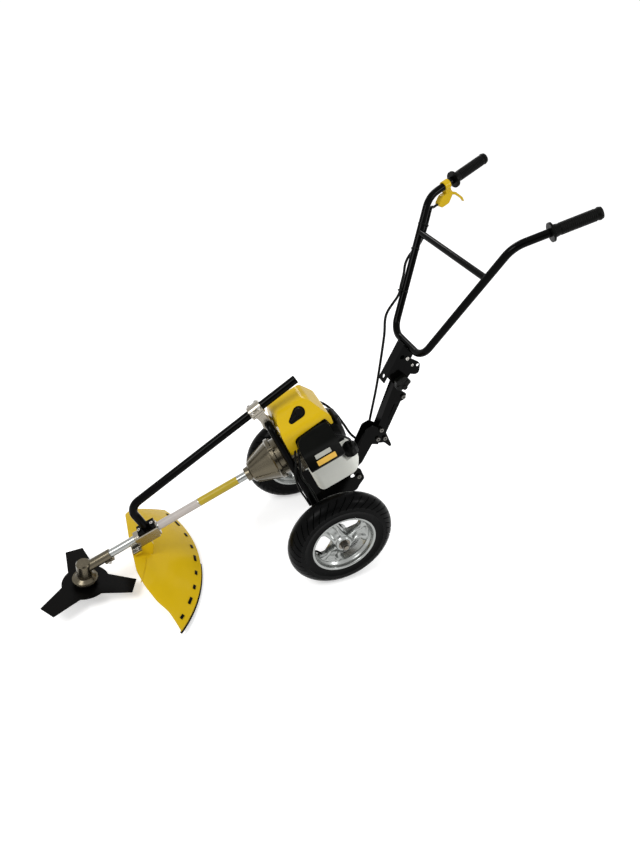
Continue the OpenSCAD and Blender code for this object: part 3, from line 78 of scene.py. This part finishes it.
def finish(
    name, color, rough, metal=0.0, grain=0.0, grain_size=500.0, vary=0.06, shade=0.88, spec=0.3,
    edge=0.0008,
):
    """A Principled finish: shade is the darkest cloud's share of the colour, edge the rounding."""
    mat = bpy.data.materials.new(name)
    mat.use_nodes = True
    tree = mat.node_tree
    bsdf = tree.nodes["Principled BSDF"]
    bsdf.inputs["Metallic"].default_value = metal
    bsdf.inputs["Specular IOR Level"].default_value = spec
    place = tree.nodes.new("ShaderNodeTexCoord")
    cloud = tree.nodes.new("ShaderNodeTexNoise")
    cloud.inputs["Scale"].default_value = cloud_scale
    cloud.inputs["Detail"].default_value = cloud_detail
    tree.links.new(place.outputs["Object"], cloud.inputs["Vector"])
    tint = tree.nodes.new("ShaderNodeMix")
    tint.data_type = "RGBA"
    tint.inputs["A"].default_value = (*[c * shade for c in color], 1.0)
    tint.inputs["B"].default_value = (*[min(1.0, c * (2.0 - shade)) for c in color], 1.0)
    tree.links.new(cloud.outputs["Fac"], tint.inputs["Factor"])
    tree.links.new(tint.outputs["Result"], bsdf.inputs["Base Color"])
    span = tree.nodes.new("ShaderNodeMapRange")
    span.inputs["To Min"].default_value = max(smoothest, rough - vary)
    span.inputs["To Max"].default_value = min(1.0, rough + vary)
    tree.links.new(cloud.outputs["Fac"], span.inputs["Value"])
    tree.links.new(span.outputs["Result"], bsdf.inputs["Roughness"])
    soft_edge = tree.nodes.new("ShaderNodeBevel")
    soft_edge.samples = bevel_samples
    soft_edge.inputs["Radius"].default_value = edge
    last = soft_edge
    if grain:
        fine = tree.nodes.new("ShaderNodeTexNoise")
        fine.inputs["Scale"].default_value = grain_size
        last = tree.nodes.new("ShaderNodeBump")
        last.inputs["Strength"].default_value = grain
        last.inputs["Distance"].default_value = bump_depth
        tree.links.new(place.outputs["Object"], fine.inputs["Vector"])
        tree.links.new(fine.outputs["Fac"], last.inputs["Height"])
        tree.links.new(soft_edge.outputs["Normal"], last.inputs["Normal"])
    tree.links.new(last.outputs["Normal"], bsdf.inputs["Normal"])
    return mat


print("the noise repeats over about", round(1 / cloud_scale, 3), "m")

# %% [markdown]
# ## The machine's own finishes
#
# Blacks are kept deep and only slightly reflective, so that they stay black in
# a white studio. The yellow is a saturated moulded plastic, the gear head and
# the clutch case are warm cast metal, and the wheels are satin alloy.

# %% The machine's own finishes
looks = {
    "black_paint": dict(color=(0.0012, 0.0012, 0.0011), rough=0.13, spec=0.045, shade=0.6),
    "dark_steel": dict(
        color=(0.0014, 0.0012, 0.001), rough=0.34, grain=0.1, grain_size=900, spec=0.05, shade=0.6),
    "yellow_plastic": dict(
        color=(0.62, 0.41, 0.008), rough=0.19, spec=0.12, shade=0.96, edge=0.0025),
    "black_plastic": dict(
        color=(0.0025, 0.0028, 0.0022), rough=0.34, grain=0.1, grain_size=900, spec=0.09,
        edge=0.002),
    "clear_plastic": dict(
        color=(0.86, 0.87, 0.8), rough=0.26, spec=0.25, shade=0.93, edge=0.003),
    "cast_aluminium": dict(
        color=(0.105, 0.091, 0.064), rough=0.23, metal=0.95, grain=0.22, grain_size=450,
        shade=0.75, edge=0.0015),
    "bright_cast": dict(
        color=(0.3, 0.275, 0.23), rough=0.22, metal=0.95, grain=0.2, grain_size=450, shade=0.8,
        edge=0.0015),
    "alloy": dict(color=(0.33, 0.34, 0.33), rough=0.27, metal=1.0, vary=0.04, shade=0.9),
    "steel": dict(color=(0.2, 0.182, 0.155), rough=0.2, metal=1.0, shade=0.85),
    "zinc": dict(color=(0.5, 0.48, 0.45), rough=0.22, metal=1.0, shade=0.85),
    "rubber": dict(
        color=(0.0022, 0.0023, 0.002), rough=0.38, grain=0.1, grain_size=700, spec=0.06, shade=0.7),
    "tyre": dict(
        color=(0.0014, 0.0015, 0.0015), rough=0.28, grain=0.08, grain_size=600, spec=0.045,
        shade=0.7),
    "dark_zinc": dict(color=(0.13, 0.125, 0.115), rough=0.3, metal=1.0, shade=0.8),
    "red_plastic": dict(color=(0.4, 0.015, 0.012), rough=0.3),
    "porcelain": dict(color=(0.7, 0.69, 0.65), rough=0.2),
    "grey_label": dict(color=(0.5, 0.5, 0.45), rough=0.35, spec=0.2),
    "orange_label": dict(color=(0.95, 0.55, 0.1), rough=0.35, spec=0.2),
    "band_film": dict(color=(0.42, 0.31, 0.02), rough=0.3, spec=0.25),
    "pale_film": dict(color=(0.46, 0.42, 0.39), rough=0.3, spec=0.2),
}
finishes = {name: finish(name, **look) for name, look in looks.items()}
slots = {part["node"]: part["material_slot"] for part in frame["record"]["subparts"]}
# A few parts look brighter or darker in the photograph than the rest of their metal.
own_finish = {
    "guard_bracket": "bright_cast", "clamp_body": "bright_cast", "clamp_cap": "bright_cast",
    "frame_bolts": "dark_zinc", "axle_nuts": "dark_zinc",
}
solid_sharp = 32
for name, obj in nodes.items():
    obj.data.materials.clear()
    obj.data.materials.append(finishes[own_finish.get(name, slots[name])])
    obj.data.shade_smooth()
    obj.data.set_sharp_from_angle(angle=math.radians(solid_sharp))
print("finishes in use:", sorted(set(slots.values())))

# %% [markdown]
# ## Frames of the machine
#
# The parts lean on a few frames: the crankshaft's slope, the blade's plane, the
# handlebar bracket, the two bar ends and the two wheels. Writing each one once,
# in millimetres, lets a detail be placed by the numbers of its own neighbourhood.

# %% Frames of the machine
to_metres = Matrix.Scale(0.001, 4)
axle_x, axle_up, wheel_out = 106, 166, 212
shaft_tilt, crank_up = 21.7, 218
head_x, spindle_lean, blade_drop = 706, 27.7, 54
bracket_at, bracket_tilt = (391, 0, 36), 42
arm_low, arm_top = Vector((110, 86, 27)), Vector((493, 213, 45))
end_drop, end_splay = 43.5, 12.5
sides = ((-1, "left"), (1, "right"))


def turn(angle, axis):
    return Matrix.Rotation(math.radians(angle), 4, axis)


def shift(*place):
    return Matrix.Translation(place)


crank = to_metres @ shift(axle_x, 0, axle_up) @ turn(-shaft_tilt, "Y") @ shift(0, 0, crank_up)
blade = crank @ shift(-head_x, 0, 0) @ turn(spindle_lean, "Y") @ shift(0, 0, -blade_drop)
bracket = crank @ shift(*bracket_at) @ turn(-bracket_tilt, "Y")
along_x = turn(90, "Y")


def bar_end(side):
    """The frame of one grip, with x along it."""
    mirrored = bracket @ Matrix.Diagonal((1, side, 1, 1)) @ shift(*arm_top)
    return mirrored @ turn(end_drop, "Y") @ turn(end_splay, "Z")


def wheel(side):
    """The frame of one wheel, with z outwards along the axle."""
    return to_metres @ shift(axle_x, side * wheel_out, axle_up) @ turn(-side * 90, "X")


print("height of the crankshaft over the axle:", round(crank.translation.z - axle_up / 1000, 3))

# %% [markdown]
# ## Tools for turned and swept pieces
#
# Most details are turned on a lathe or bent from a rod. Spin makes the first
# kind from an outline of radius and height, and an extruded circle that is
# carried along a smooth line makes the second.


# %% Tools for turned and swept pieces
def revolve(bm, outline, steps, place):
    """Turn a closed outline of (radius, height) once about z."""
    before = set(bm.verts)
    corners = [bm.verts.new((r, 0.0, z)) for r, z in outline]
    edges = [bm.edges.new(pair) for pair in zip(corners, corners[1:] + corners[:1])]
    bmesh.ops.spin(
        bm, geom=corners + edges, cent=(0, 0, 0), axis=(0, 0, 1), angle=2 * math.pi, steps=steps,
        use_merge=True)
    made = [v for v in bm.verts if v not in before]
    bmesh.ops.transform(bm, matrix=place, verts=made)


def smooth_line(points, steps):
    """A smooth curve through the points."""
    points = [Vector(p) for p in points]
    line = []
    for i in range(len(points) - 1):
        a, b = points[max(i - 1, 0)], points[i]
        c, d = points[i + 1], points[min(i + 2, len(points) - 1)]
        for j in range(steps):
            t = j / steps
            bend = (2 * a - 5 * b + 4 * c - d) * t * t + (3 * b - a - 3 * c + d) * t ** 3
            line.append(0.5 * (2 * b + (c - a) * t + bend))
    return line + [points[-1]]


def stations(line):
    """One frame at each point of a line, turned as little as possible from the one before."""
    frames = []
    across = None
    for i, point in enumerate(line):
        ahead = (line[min(i + 1, len(line) - 1)] - line[max(i - 1, 0)]).normalized()
        across = ahead.orthogonal() if across is None else across - ahead * across.dot(ahead)
        across = across.normalized()
        turned = Matrix((across, ahead.cross(across), ahead)).transposed().to_4x4()
        frames.append(Matrix.Translation(point) @ turned)
    return frames


def sweep(bm, line, radius, place, segments=12):
    """Carry a circle along a line, closed at both ends."""
    frames = [place @ f for f in stations(line)]
    ring = bmesh.ops.create_circle(
        bm, cap_ends=True, segments=segments, radius=radius, matrix=frames[0])["verts"]
    edges = list({e for v in ring for e in v.link_edges})
    for here, ahead in zip(frames, frames[1:]):
        made = bmesh.ops.extrude_edge_only(bm, edges=edges)["geom"]
        verts = [g for g in made if isinstance(g, bmesh.types.BMVert)]
        edges = [
            g for g in made
            if isinstance(g, bmesh.types.BMEdge) and all(v in verts for v in g.verts)]
        bmesh.ops.transform(bm, matrix=ahead @ here.inverted(), verts=verts)
    bmesh.ops.edgeloop_fill(bm, edges=edges)


def piece(name, bm, finish_name, body, sharp=35):
    """Make the mesh an object with a finish, and let it ride on the body that carries it."""
    bmesh.ops.recalc_face_normals(bm, faces=bm.faces)
    mesh = bpy.data.meshes.new(name)
    bm.to_mesh(mesh)
    bm.free()
    mesh.materials.append(finishes[finish_name])
    mesh.shade_smooth()
    mesh.set_sharp_from_angle(angle=math.radians(sharp))
    obj = bpy.data.objects.new(name, mesh)
    scene.collection.objects.link(obj)
    if body:
        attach(obj, body)
    print(name, "faces:", len(mesh.polygons))
    return obj


# %% [markdown]
# ## Camera
#
# The place and turn of the camera come from fitting the machine's known lengths
# to the photograph: it looks down at about 36 degrees from the front left.

# %% Camera
camera_at = (-0.4906, -1.5564, 1.651)
ahead = Vector((0.2966, 0.7512, -0.5896)).normalized()
right = ahead.cross(Vector((0, 0, 1))).normalized()
up = right.cross(ahead)
camera = bpy.data.objects.new("camera", bpy.data.cameras.new("camera"))
camera.data.sensor_width = 36.0
camera.data.lens = 28.93
camera.data.clip_end = 100.0
camera.matrix_world = shift(*camera_at) @ Matrix((right, up, -ahead)).transposed().to_4x4()
scene.collection.objects.link(camera)
scene.camera = camera
print("camera looks down by:", round(math.degrees(math.asin(-ahead.z)), 1))

# %% [markdown]
# ## Throttle cable
#
# The cable leaves the throttle, winds along the right arm, hangs free past the
# handlebar's pivot and climbs to the carburettor. The route along the arm is
# given by its share of the arm and its angle round the tube.

# %% Route of the throttle cable
cable_r, cable_sides = 4.0, 16
cable_off = 18.1
arm = arm_top - arm_low
arm_dir = arm.normalized()
arm_out = Vector((-arm_dir.y, arm_dir.x, 0)).normalized()
arm_front = arm_dir.cross(arm_out)


def beside_arm(share, angle, off=cable_off):
    """A point beside the right arm, in the bracket's frame."""
    a = math.radians(angle)
    return arm_low + share * arm + off * (math.cos(a) * arm_front + math.sin(a) * arm_out)


from_end = bracket.inverted() @ bar_end(1)
from_crank = bracket.inverted() @ crank
bar_route = [from_end @ Vector((21.5, 0, -39.1)), from_end @ Vector((6, 0, -39.1))]
bar_route += [beside_arm(*q) for q in (
    (0.93, 180), (0.84, 180), (0.75, 178), (0.66, 150), (0.58, 90), (0.5, 30), (0.42, 2), (0.34, 0),
    (0.26, 0))]
free_route = [from_crank @ Vector(p) for p in (
    (452, 96, 190), (414, 62, 150), (362, 46, 66), (322, 38, 0), (278, 33, -70))]
engine_route = [from_crank @ Vector(p) for p in (
    (246, 30, -122), (228, 30, -141), (208, 33, -138), (194, 42, -110), (188, 56, -64),
    (178, 68, -10), (156, 70, 42), (128, 62, 68), (106.5, 57, 72))]
steps = 6
cable_line = smooth_line(bar_route + free_route + engine_route, steps)
cut_top = (len(bar_route) - 1) * steps
cut_low = (len(bar_route) + len(free_route)) * steps
print("points on the cable:", len(cable_line))

# %% [markdown]
# ## Three runs of one cable
#
# The route is cut in three: the ends ride on what they are tied to, and the
# middle is baked where it stands and rides on no body.

# %% Three runs of one cable
bm = bmesh.new()
sweep(bm, cable_line[:cut_top + 1], cable_r, bracket, cable_sides)
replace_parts(piece("cable_on_bar", bm, "black_plastic", "bar"), "cable_upper")
bm = bmesh.new()
sweep(bm, cable_line[cut_low:], cable_r, bracket, cable_sides)
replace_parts(piece("cable_on_frame", bm, "black_plastic", "frame"), "cable_lower")
free_line = cable_line[cut_top:cut_low + 1]
bm = bmesh.new()
sweep(bm, free_line, cable_r, bracket, cable_sides)
free_cable = piece("free_cable", bm, "black_plastic", None)
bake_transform(free_cable)
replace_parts(free_cable, "throttle_cable")

# %% [markdown]
# ## Starter rope
#
# A short length of rope shows between the starter's case and its handle. It is
# baked where it stands and rides on no body.

# %% Starter rope
rope_foot, rope_top = Vector((163, -34, 38.5)), Vector((163, -34, 51.5))
rope_r, rope_steps = 2.0, 12
rope_line = [rope_foot.lerp(rope_top, k / rope_steps) for k in range(rope_steps + 1)]
bm = bmesh.new()
sweep(bm, rope_line, rope_r, crank, cable_sides)
rope = piece("pull_rope", bm, "black_plastic", None)
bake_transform(rope)
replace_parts(rope, "starter_rope")

# %% [markdown]
# ## Tyres
#
# Each tyre is its section spun round the wheel. The grid is then sheared so that
# its lines follow the slant of the tread, and one line in every dozen is pressed
# in as a groove that runs from near the crown out to the shoulder, on each side
# half a step apart.

# %% Tyres
tyre_mid, tyre_r = 130.5, 35.5
repeats, lines_per_repeat = 40, 12
tread_edge, bead_lean = 76.0, 110
groove_depth, groove_from = 3.4, 0.15
wall_depth, rib_depth, rib_leans = 1.0, 0.1, (93.5, 98.5)
bead = (97.6, 31.9)
leans = [-115.7, -109, -103, -99, -98, -94, -93, -88, -82, -79]
leans += [-tread_edge + tread_edge * k / 14 for k in range(29)] + [-a for a in reversed(leans)]
section = [(bead[0], -bead[1])]
section += [
    (tyre_mid + tyre_r * math.cos(math.radians(a)), tyre_r * math.sin(math.radians(a)))
    for a in leans]
section += [bead]


def pressed(line, lean):
    """How far the rubber lies below the full section, in millimetres."""
    out = abs(lean) / tread_edge
    if out > 1.02:
        return rib_depth if rib_leans[0] < abs(lean) < rib_leans[1] else wall_depth
    start = lines_per_repeat // 2 if lean > 0 else 0
    if (line - start) % lines_per_repeat == 0 and out > groove_from:
        return groove_depth
    return 0.0


def slant(out):
    """How many repeats the tread is sheared, from the crown (0) to its edge (1)."""
    return 1.35 * out - 0.14 * math.sin(4.5 * out)


for side, label in sides:
    bm = bmesh.new()
    count = repeats * lines_per_repeat
    revolve(bm, section, count, Matrix.Identity(4))
    for v in bm.verts:
        lean = math.degrees(math.atan2(v.co.z, v.co.xy.length - tyre_mid))
        if abs(lean) > bead_lean:
            continue
        angle = math.atan2(v.co.y, v.co.x)
        line = round(angle / (2 * math.pi) * count)
        reach = tyre_r - pressed(line, lean)
        far = tyre_mid + reach * math.cos(math.radians(lean))
        angle += 2 * math.pi / repeats * slant(min(1.0, abs(lean) / tread_edge))
        v.co = (
            far * math.cos(angle), far * math.sin(angle), reach * math.sin(math.radians(lean)))
    bmesh.ops.transform(bm, matrix=wheel(side), verts=bm.verts)
    tread = piece("tread_" + label, bm, "tyre", "wheel_" + label, sharp=30)
    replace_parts(tread, "tyre_" + label)

# %% [markdown]
# ## Barrel and hub
#
# The rim is a rolled barrel with a hub, both spun from outlines of radius and
# height. The barrel is drawn as one half and mirrored.

# %% Barrel and hub
half_barrel = [
    (86.0, 9.0), (86.2, 13.0), (88.2, 16.0), (92.4, 20.5), (94.0, 25.0), (94.3, 30.5), (95.0, 33.0),
    (96.8, 34.2), (99.2, 34.6), (101.0, 34.4), (101.5, 33.7), (101.3, 33.0), (98.2, 32.2),
    (97.5, 31.5), (97.5, 23.5), (89.5, 14.0),
]
barrel = half_barrel + [(r, -z) for r, z in reversed(half_barrel)]
hub = [
    (13.6, -30), (27.5, -30), (30, -27.5), (30, 14), (28.6, 22), (25.5, 27.5), (23.2, 32),
    (22.2, 33), (18.6, 33), (17.6, 32), (17.6, 22), (13.6, 22),
]
print("width over the barrel's lips:", 2 * max(z for r, z in half_barrel))

# %% [markdown]
# ## Wheel castings
#
# A spoke starts as a flat grid: its points are raised to a broad ridge with a
# channel down the middle that widens into hub and barrel, and the sheet is
# extruded to its thickness. A rubber valve stands beside one spoke.

# %% Wheel castings
spoke_count, first_spoke, valve_turn = 3, 126.5, 186.5
spoke_back = -6.0
spoke_grid = 24
valve_line = [(86.8, 0, 17), (82, 0, 22), (78, 0, 29), (75, 0, 36)]
valve_r = 3.2


def ease(low, high, x):
    """A smooth step from 0 at low to 1 at high."""
    t = min(1.0, max(0.0, (x - low) / (high - low)))
    return t * t * (3 - 2 * t)


def spoke(bm, place):
    sheet = bmesh.ops.create_grid(
        bm, x_segments=spoke_grid, y_segments=spoke_grid, size=1.0)["verts"]
    faces = list({f for v in sheet for f in v.link_faces})
    for v in sheet:
        s, side_share = (v.co.x + 1) / 2, v.co.y
        r = 24 + 64 * s
        half = 24 + 7 * s + 6 * (1 - ease(0.0, 0.25, s)) + 19 * ease(0.58, 1.0, s)
        top = 25 - 13 * ease(0.0, 0.5, s) + 1.5 * ease(0.7, 1.0, s)
        channel = 8.0 * ease(0.06, 0.26, s) * (1 - ease(0.8, 1.0, s))
        shoulder = 12 * ease(0.74, 1.0, abs(side_share)) ** 2
        dip = channel * (1 - ease(0.3, 0.55, abs(side_share))) + shoulder
        angle = side_share * half / r
        v.co = (r * math.cos(angle), r * math.sin(angle), top - dip)
    back = bmesh.ops.extrude_face_region(bm, geom=faces)["geom"]
    low = [g for g in back if isinstance(g, bmesh.types.BMVert)]
    for v in low:
        v.co.z = spoke_back
    bmesh.ops.transform(bm, matrix=place, verts=sheet + low)


for side, label in sides:
    bm = bmesh.new()
    revolve(bm, barrel, 144, wheel(side))
    revolve(bm, hub, 64, wheel(side))
    for k in range(spoke_count):
        spoke(bm, wheel(side) @ turn(first_spoke + 360 // spoke_count * k, "Z"))
    rim = piece("casting_" + label, bm, "alloy", "wheel_" + label, sharp=50)
    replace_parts(rim, "rim_" + label)
    bm = bmesh.new()
    sweep(bm, smooth_line(valve_line, 4), valve_r, wheel(side) @ turn(valve_turn, "Z"))
    piece("valve_" + label, bm, "rubber", "wheel_" + label)

# %% [markdown]
# ## Grip rings
#
# The grips are moulded with rings for a firm hold. One long outline holds them
# all, and is spun round the bar's end.

# %% Grip rings
ring_count, ring_pitch, ring_start, ring_end = 19, 4.8, 120, 211.2
grip_in, grip_r = 14.6, 15.0
ring_shape = [(15.0, 0), (15.3, 0.5), (15.9, 0.9), (15.9, 3.4), (15.3, 3.8), (15.0, 4.3)]
rings = [(grip_in, ring_start)]
for k in range(ring_count):
    rings += [(r, ring_start + ring_pitch * k + x) for r, x in ring_shape]
rings += [(grip_r, ring_end), (grip_in, ring_end)]
for side, label in sides:
    bm = bmesh.new()
    revolve(bm, rings, 40, bar_end(side) @ along_x)
    piece("grip_rings_" + label, bm, "rubber", "bar", sharp=60)

# %% [markdown]
# ## Cable ties
#
# Three nylon ties keep the cable on the arm. A ring is spun round and then drawn
# out to an oval that holds both, and its tail stands off.

# %% Cable ties
strap = [(14.6, -2.2), (15.6, -2.2), (15.6, 2.2), (14.6, 2.2)]
oval = Matrix.Diagonal((1.16, 0.82, 1, 1))
tie_off, tail_r = 5.5, 1.5
tail = [Vector((16.5, 2, 0)), Vector((21, 5, 0)), Vector((25, 9, 0))]
bm = bmesh.new()
for share, angle in ((0.8, 179), (0.62, 121), (0.3, 0)):
    middle = beside_arm(share, angle, tie_off)
    to_cable = (beside_arm(share, angle) - middle).normalized()
    facing = Matrix((to_cable, arm_dir.cross(to_cable), arm_dir)).transposed().to_4x4()
    place = bracket @ shift(*middle) @ facing
    revolve(bm, strap, 36, place @ oval)
    sweep(bm, tail, tail_r, place, 8)
piece("cable_ties", bm, "black_plastic", "bar")

# %% [markdown]
# ## Small screws
#
# Two socket screws hold the handlebar's bracket cheek together. Each head is
# spun from a small outline with the socket left open.

# %% Small screws
cheek_y = -18.4
bm = bmesh.new()
for x, z, r in ((73, 16, 6.0), (58, -12, 4.5)):
    head = [
        (0.4, 0), (r, 0), (r, 2.6), (r - 1, 3.6), (r * 0.5, 3.6), (r * 0.5, 1.8), (0.4, 1.8)]
    revolve(bm, head, 24, bracket @ shift(x, cheek_y, z) @ turn(90, "X"))
piece("bracket_screws", bm, "zinc", "bar")

# %% [markdown]
# ## Plates and films
#
# The muffler's cover carries two blank plates with rounded corners, and the drive
# tube a plain pale film and a plain yellow one.

# %% Plates and films
plate_low, plate_high = -106.7, -105.9
plate_round = 0.002
for name, low, high, slot in (
    ("grey_label", (52.5, plate_low, 8.5), (104, plate_high, 26), "clear_plastic"),
    ("orange_label", (50, plate_low, -20), (112, plate_high, 1.5), "yellow_plastic"),
):
    size = [b - a for a, b in zip(low, high)]
    middle = [(a + b) / 2 for a, b in zip(low, high)]
    bm = bmesh.new()
    bmesh.ops.create_cube(
        bm, size=1.0, matrix=crank @ shift(*middle) @ Matrix.Diagonal((*size, 1)))
    corners = [e for e in bm.edges if e.calc_length() < 0.001]
    bmesh.ops.bevel(
        bm, geom=corners, offset=plate_round, segments=4, profile=0.5, affect="EDGES", material=-1)
    piece(name, bm, name, "frame")

tube_r = 12.5
for name, film, slot, start, end, r in (
    ("tube_band", "band_film", "yellow_plastic", -314, -182, 12.75),
    ("tube_film", "pale_film", "clear_plastic", -452, -316, 12.7),
):
    bm = bmesh.new()
    revolve(bm, [(tube_r, start), (r, start), (r, end), (tube_r, end)], 48, crank @ along_x)
    piece(name, bm, film, "frame")

# %% [markdown]
# ## Wires and hose
#
# Two wires run down the hoop's near leg, and a hose runs to the tank.

# %% Wires and hose
wire_r, hose_r = 3.0, 3.5
wire = [
    (18, -60, 56), (9, -70, 42), (-6, -98, 28), (-26, -113, -4), (-33, -122, -45),
    (-31, -138, -78), (-30, -149, -100)]
second = [
    (24, -58, 52), (16, -76, 36), (4, -102, 20), (-10, -118, -10), (-4, -136, -48),
    (-4, -150, -82), (-8, -164, -104)]
hose = [
    (132, -80, 36), (148, -82, 22), (164, -76, -4), (172, -60, -36), (166, -38, -66),
    (150, -30, -92)]
bm = bmesh.new()
for line, r in ((wire, wire_r), (second, wire_r), (hose, hose_r)):
    sweep(bm, smooth_line(line, 10), r, crank)
piece("wire_and_hose", bm, "black_plastic", "frame")

# %% [markdown]
# ## Guard ridge
#
# A moulded ridge follows the guard's front edge. Its line is drawn flat and each
# point is lifted to the guard's dished surface.

# %% Guard ridge
guard_x, guard_y, guard_r = -86, 36, 436
guard_top, guard_flat, guard_run, guard_power = 95, 238, 198, 1.35


def guard_height(x, y):
    """Height of the guard's surface over the blade's plane."""
    r = math.hypot(x - guard_x, y - guard_y)
    return guard_top * (1 - max(0.0, (r - guard_flat) / guard_run) ** guard_power)


ridge_r = 1.4
flat = smooth_line([(147, -126, 0), (158, -100, 0), (170, -66, 0), (178, -34, 0)], 10)
bm = bmesh.new()
sweep(bm, [Vector((p.x, p.y, guard_height(p.x, p.y))) for p in flat], ridge_r, blade, 10)
piece("guard_ridge", bm, "yellow_plastic", "frame")

# %% [markdown]
# ## Slot shade tabs and skirt edging
#
# Dark rubber tabs fill the guard's slots as painted shade: they stand in for the
# shadow under the guard and the dark skirt seen through the slots. Each tab is a
# rounded head on the surface and a stem in the slot. Round the near corner the
# skirt ends in a thick edging, swept along the rim.

# %% Slot shade tabs and skirt edging
tab_r, tab_round = 419.5, 0.0009
slot_count, slot_span, slot_mid = 9, 64, -6
edging_from, edging_span, edging_r, edging_steps = -43, 36, 3.8, 24
tab_rise = ((tab_r - guard_flat) / guard_run) ** (guard_power - 1)
tab_slope = math.degrees(math.atan(guard_top * guard_power / guard_run * tab_rise))
bm = bmesh.new()
# Dark tabs that fill the slots: painted shade for the shadow and dark skirt seen through them.
for i in range(slot_count):
    long = 20 if i % 3 == 1 else 11
    around = turn(slot_mid + slot_span * (i / (slot_count - 1) - 0.5), "Z")
    on_rim = shift(tab_r, long / 2 - 7, guard_height(tab_r + guard_x, guard_y))
    spot = blade @ shift(guard_x, guard_y, 0) @ around @ on_rim @ turn(tab_slope, "Y")
    head = bmesh.ops.create_cube(
        bm, size=1.0, matrix=spot @ shift(0, 0, 1.1) @ Matrix.Diagonal((9, long + 5, 2.0, 1)))
    edges = list({e for v in head["verts"] for e in v.link_edges})
    bmesh.ops.bevel(
        bm, geom=edges, offset=tab_round, segments=3, profile=0.5, affect="EDGES", material=-1)
    bmesh.ops.create_cube(
        bm, size=1.0, matrix=spot @ shift(0, 0, -2.4) @ Matrix.Diagonal((3.6, long - 1.5, 5.4, 1)))
rim_line = []
for k in range(edging_steps + 1):
    share = k / edging_steps
    a = math.radians(edging_from + edging_span * share)
    rim_line.append(Vector((
        guard_r * math.cos(a) + guard_x, guard_r * math.sin(a) + guard_y, -11 + 2.5 * share ** 2)))
sweep(bm, rim_line, edging_r, blade, 12)
# Painted shade in the slots, together with the skirt's real edging along the rim.
piece("slot_shade_tabs_and_skirt_edge", bm, "rubber", "frame")

# %% [markdown]
# ## Sky
#
# A plain sky stands in for the white studio of the photograph. It is white where
# the camera, a mirror or a clear part looks, and lights the machine with less.

# %% Sky
sky_light, sky_white = 0.65, 1.0


def seen(tree, unseen_level, seen_level):
    """One level where the camera, a mirror or a clear part looks, and one for scattered light."""
    rays = tree.nodes.new("ShaderNodeLightPath")
    looked_at = rays.outputs["Is Camera Ray"]
    for ray in ("Is Glossy Ray", "Is Transmission Ray"):
        either = tree.nodes.new("ShaderNodeMath")
        either.operation = "MAXIMUM"
        tree.links.new(looked_at, either.inputs[0])
        tree.links.new(rays.outputs[ray], either.inputs[1])
        looked_at = either.outputs["Value"]
    level = tree.nodes.new("ShaderNodeMapRange")
    level.inputs["To Min"].default_value = unseen_level
    level.inputs["To Max"].default_value = seen_level
    tree.links.new(looked_at, level.inputs["Value"])
    return level.outputs["Result"]


scene.view_settings.view_transform = "Standard"
world = bpy.data.worlds.new("studio")
scene.world = world
world.use_nodes = True
sky = world.node_tree
background = sky.nodes["Background"]
background.inputs["Color"].default_value = (1.0, 1.0, 1.0, 1.0)
sky.links.new(seen(sky, sky_light, sky_white), background.inputs["Strength"])
print("sky lights at:", sky_light)

# %% [markdown]
# ## Floor, card and lamps
#
# The pale floor glows only where it is looked at, so it is white and still keeps
# the shadow. A dark card behind the camera shows only in reflections and keeps
# the blacks deep. One large soft lamp and two small ones do the rest.

# %% Floor, card and lamps
floor_glow = 0.42
aim_at = Vector((0, 0, 0.4))


def stand(name, radius, place, color, glow=0.0):
    """A matt disc of the studio, which may glow where it is looked at."""
    mesh = bpy.data.meshes.new(name)
    bm = bmesh.new()
    bmesh.ops.create_circle(bm, cap_ends=True, segments=64, radius=radius, matrix=place)
    bm.to_mesh(mesh)
    bm.free()
    mat = finish(name, color, 0.9, vary=0.02, shade=1.0, spec=0.05)
    if glow:
        bsdf = mat.node_tree.nodes["Principled BSDF"]
        bsdf.inputs["Emission Color"].default_value = (1.0, 1.0, 1.0, 1.0)
        level = seen(mat.node_tree, 0.0, glow)
        mat.node_tree.links.new(level, bsdf.inputs["Emission Strength"])
    mesh.materials.append(mat)
    obj = bpy.data.objects.new(name, mesh)
    scene.collection.objects.link(obj)
    return obj


def lamp(name, place, size, watts):
    """A round area lamp that faces the machine."""
    data = bpy.data.lights.new(name, "AREA")
    data.shape = "DISK"
    data.size = size
    data.energy = watts
    obj = bpy.data.objects.new(name, data)
    aim = (aim_at - Vector(place)).to_track_quat("-Z", "Y").to_matrix().to_4x4()
    obj.matrix_world = shift(*place) @ aim
    scene.collection.objects.link(obj)


stand("floor", 40.0, shift(0, 0, -0.0005), (0.92, 0.92, 0.92), floor_glow)
card = stand("card", 1.5, shift(-0.6, -3.4, 2.2) @ turn(-62, "X"), (0.01, 0.01, 0.01))
card.visible_camera = card.visible_shadow = card.visible_diffuse = False
lamp("key", (-1.9, -0.9, 2.7), 1.4, 42)
lamp("fill", (2.2, -1.6, 2.0), 0.7, 16)
lamp("back", (0.6, 2.4, 2.4), 0.8, 16)
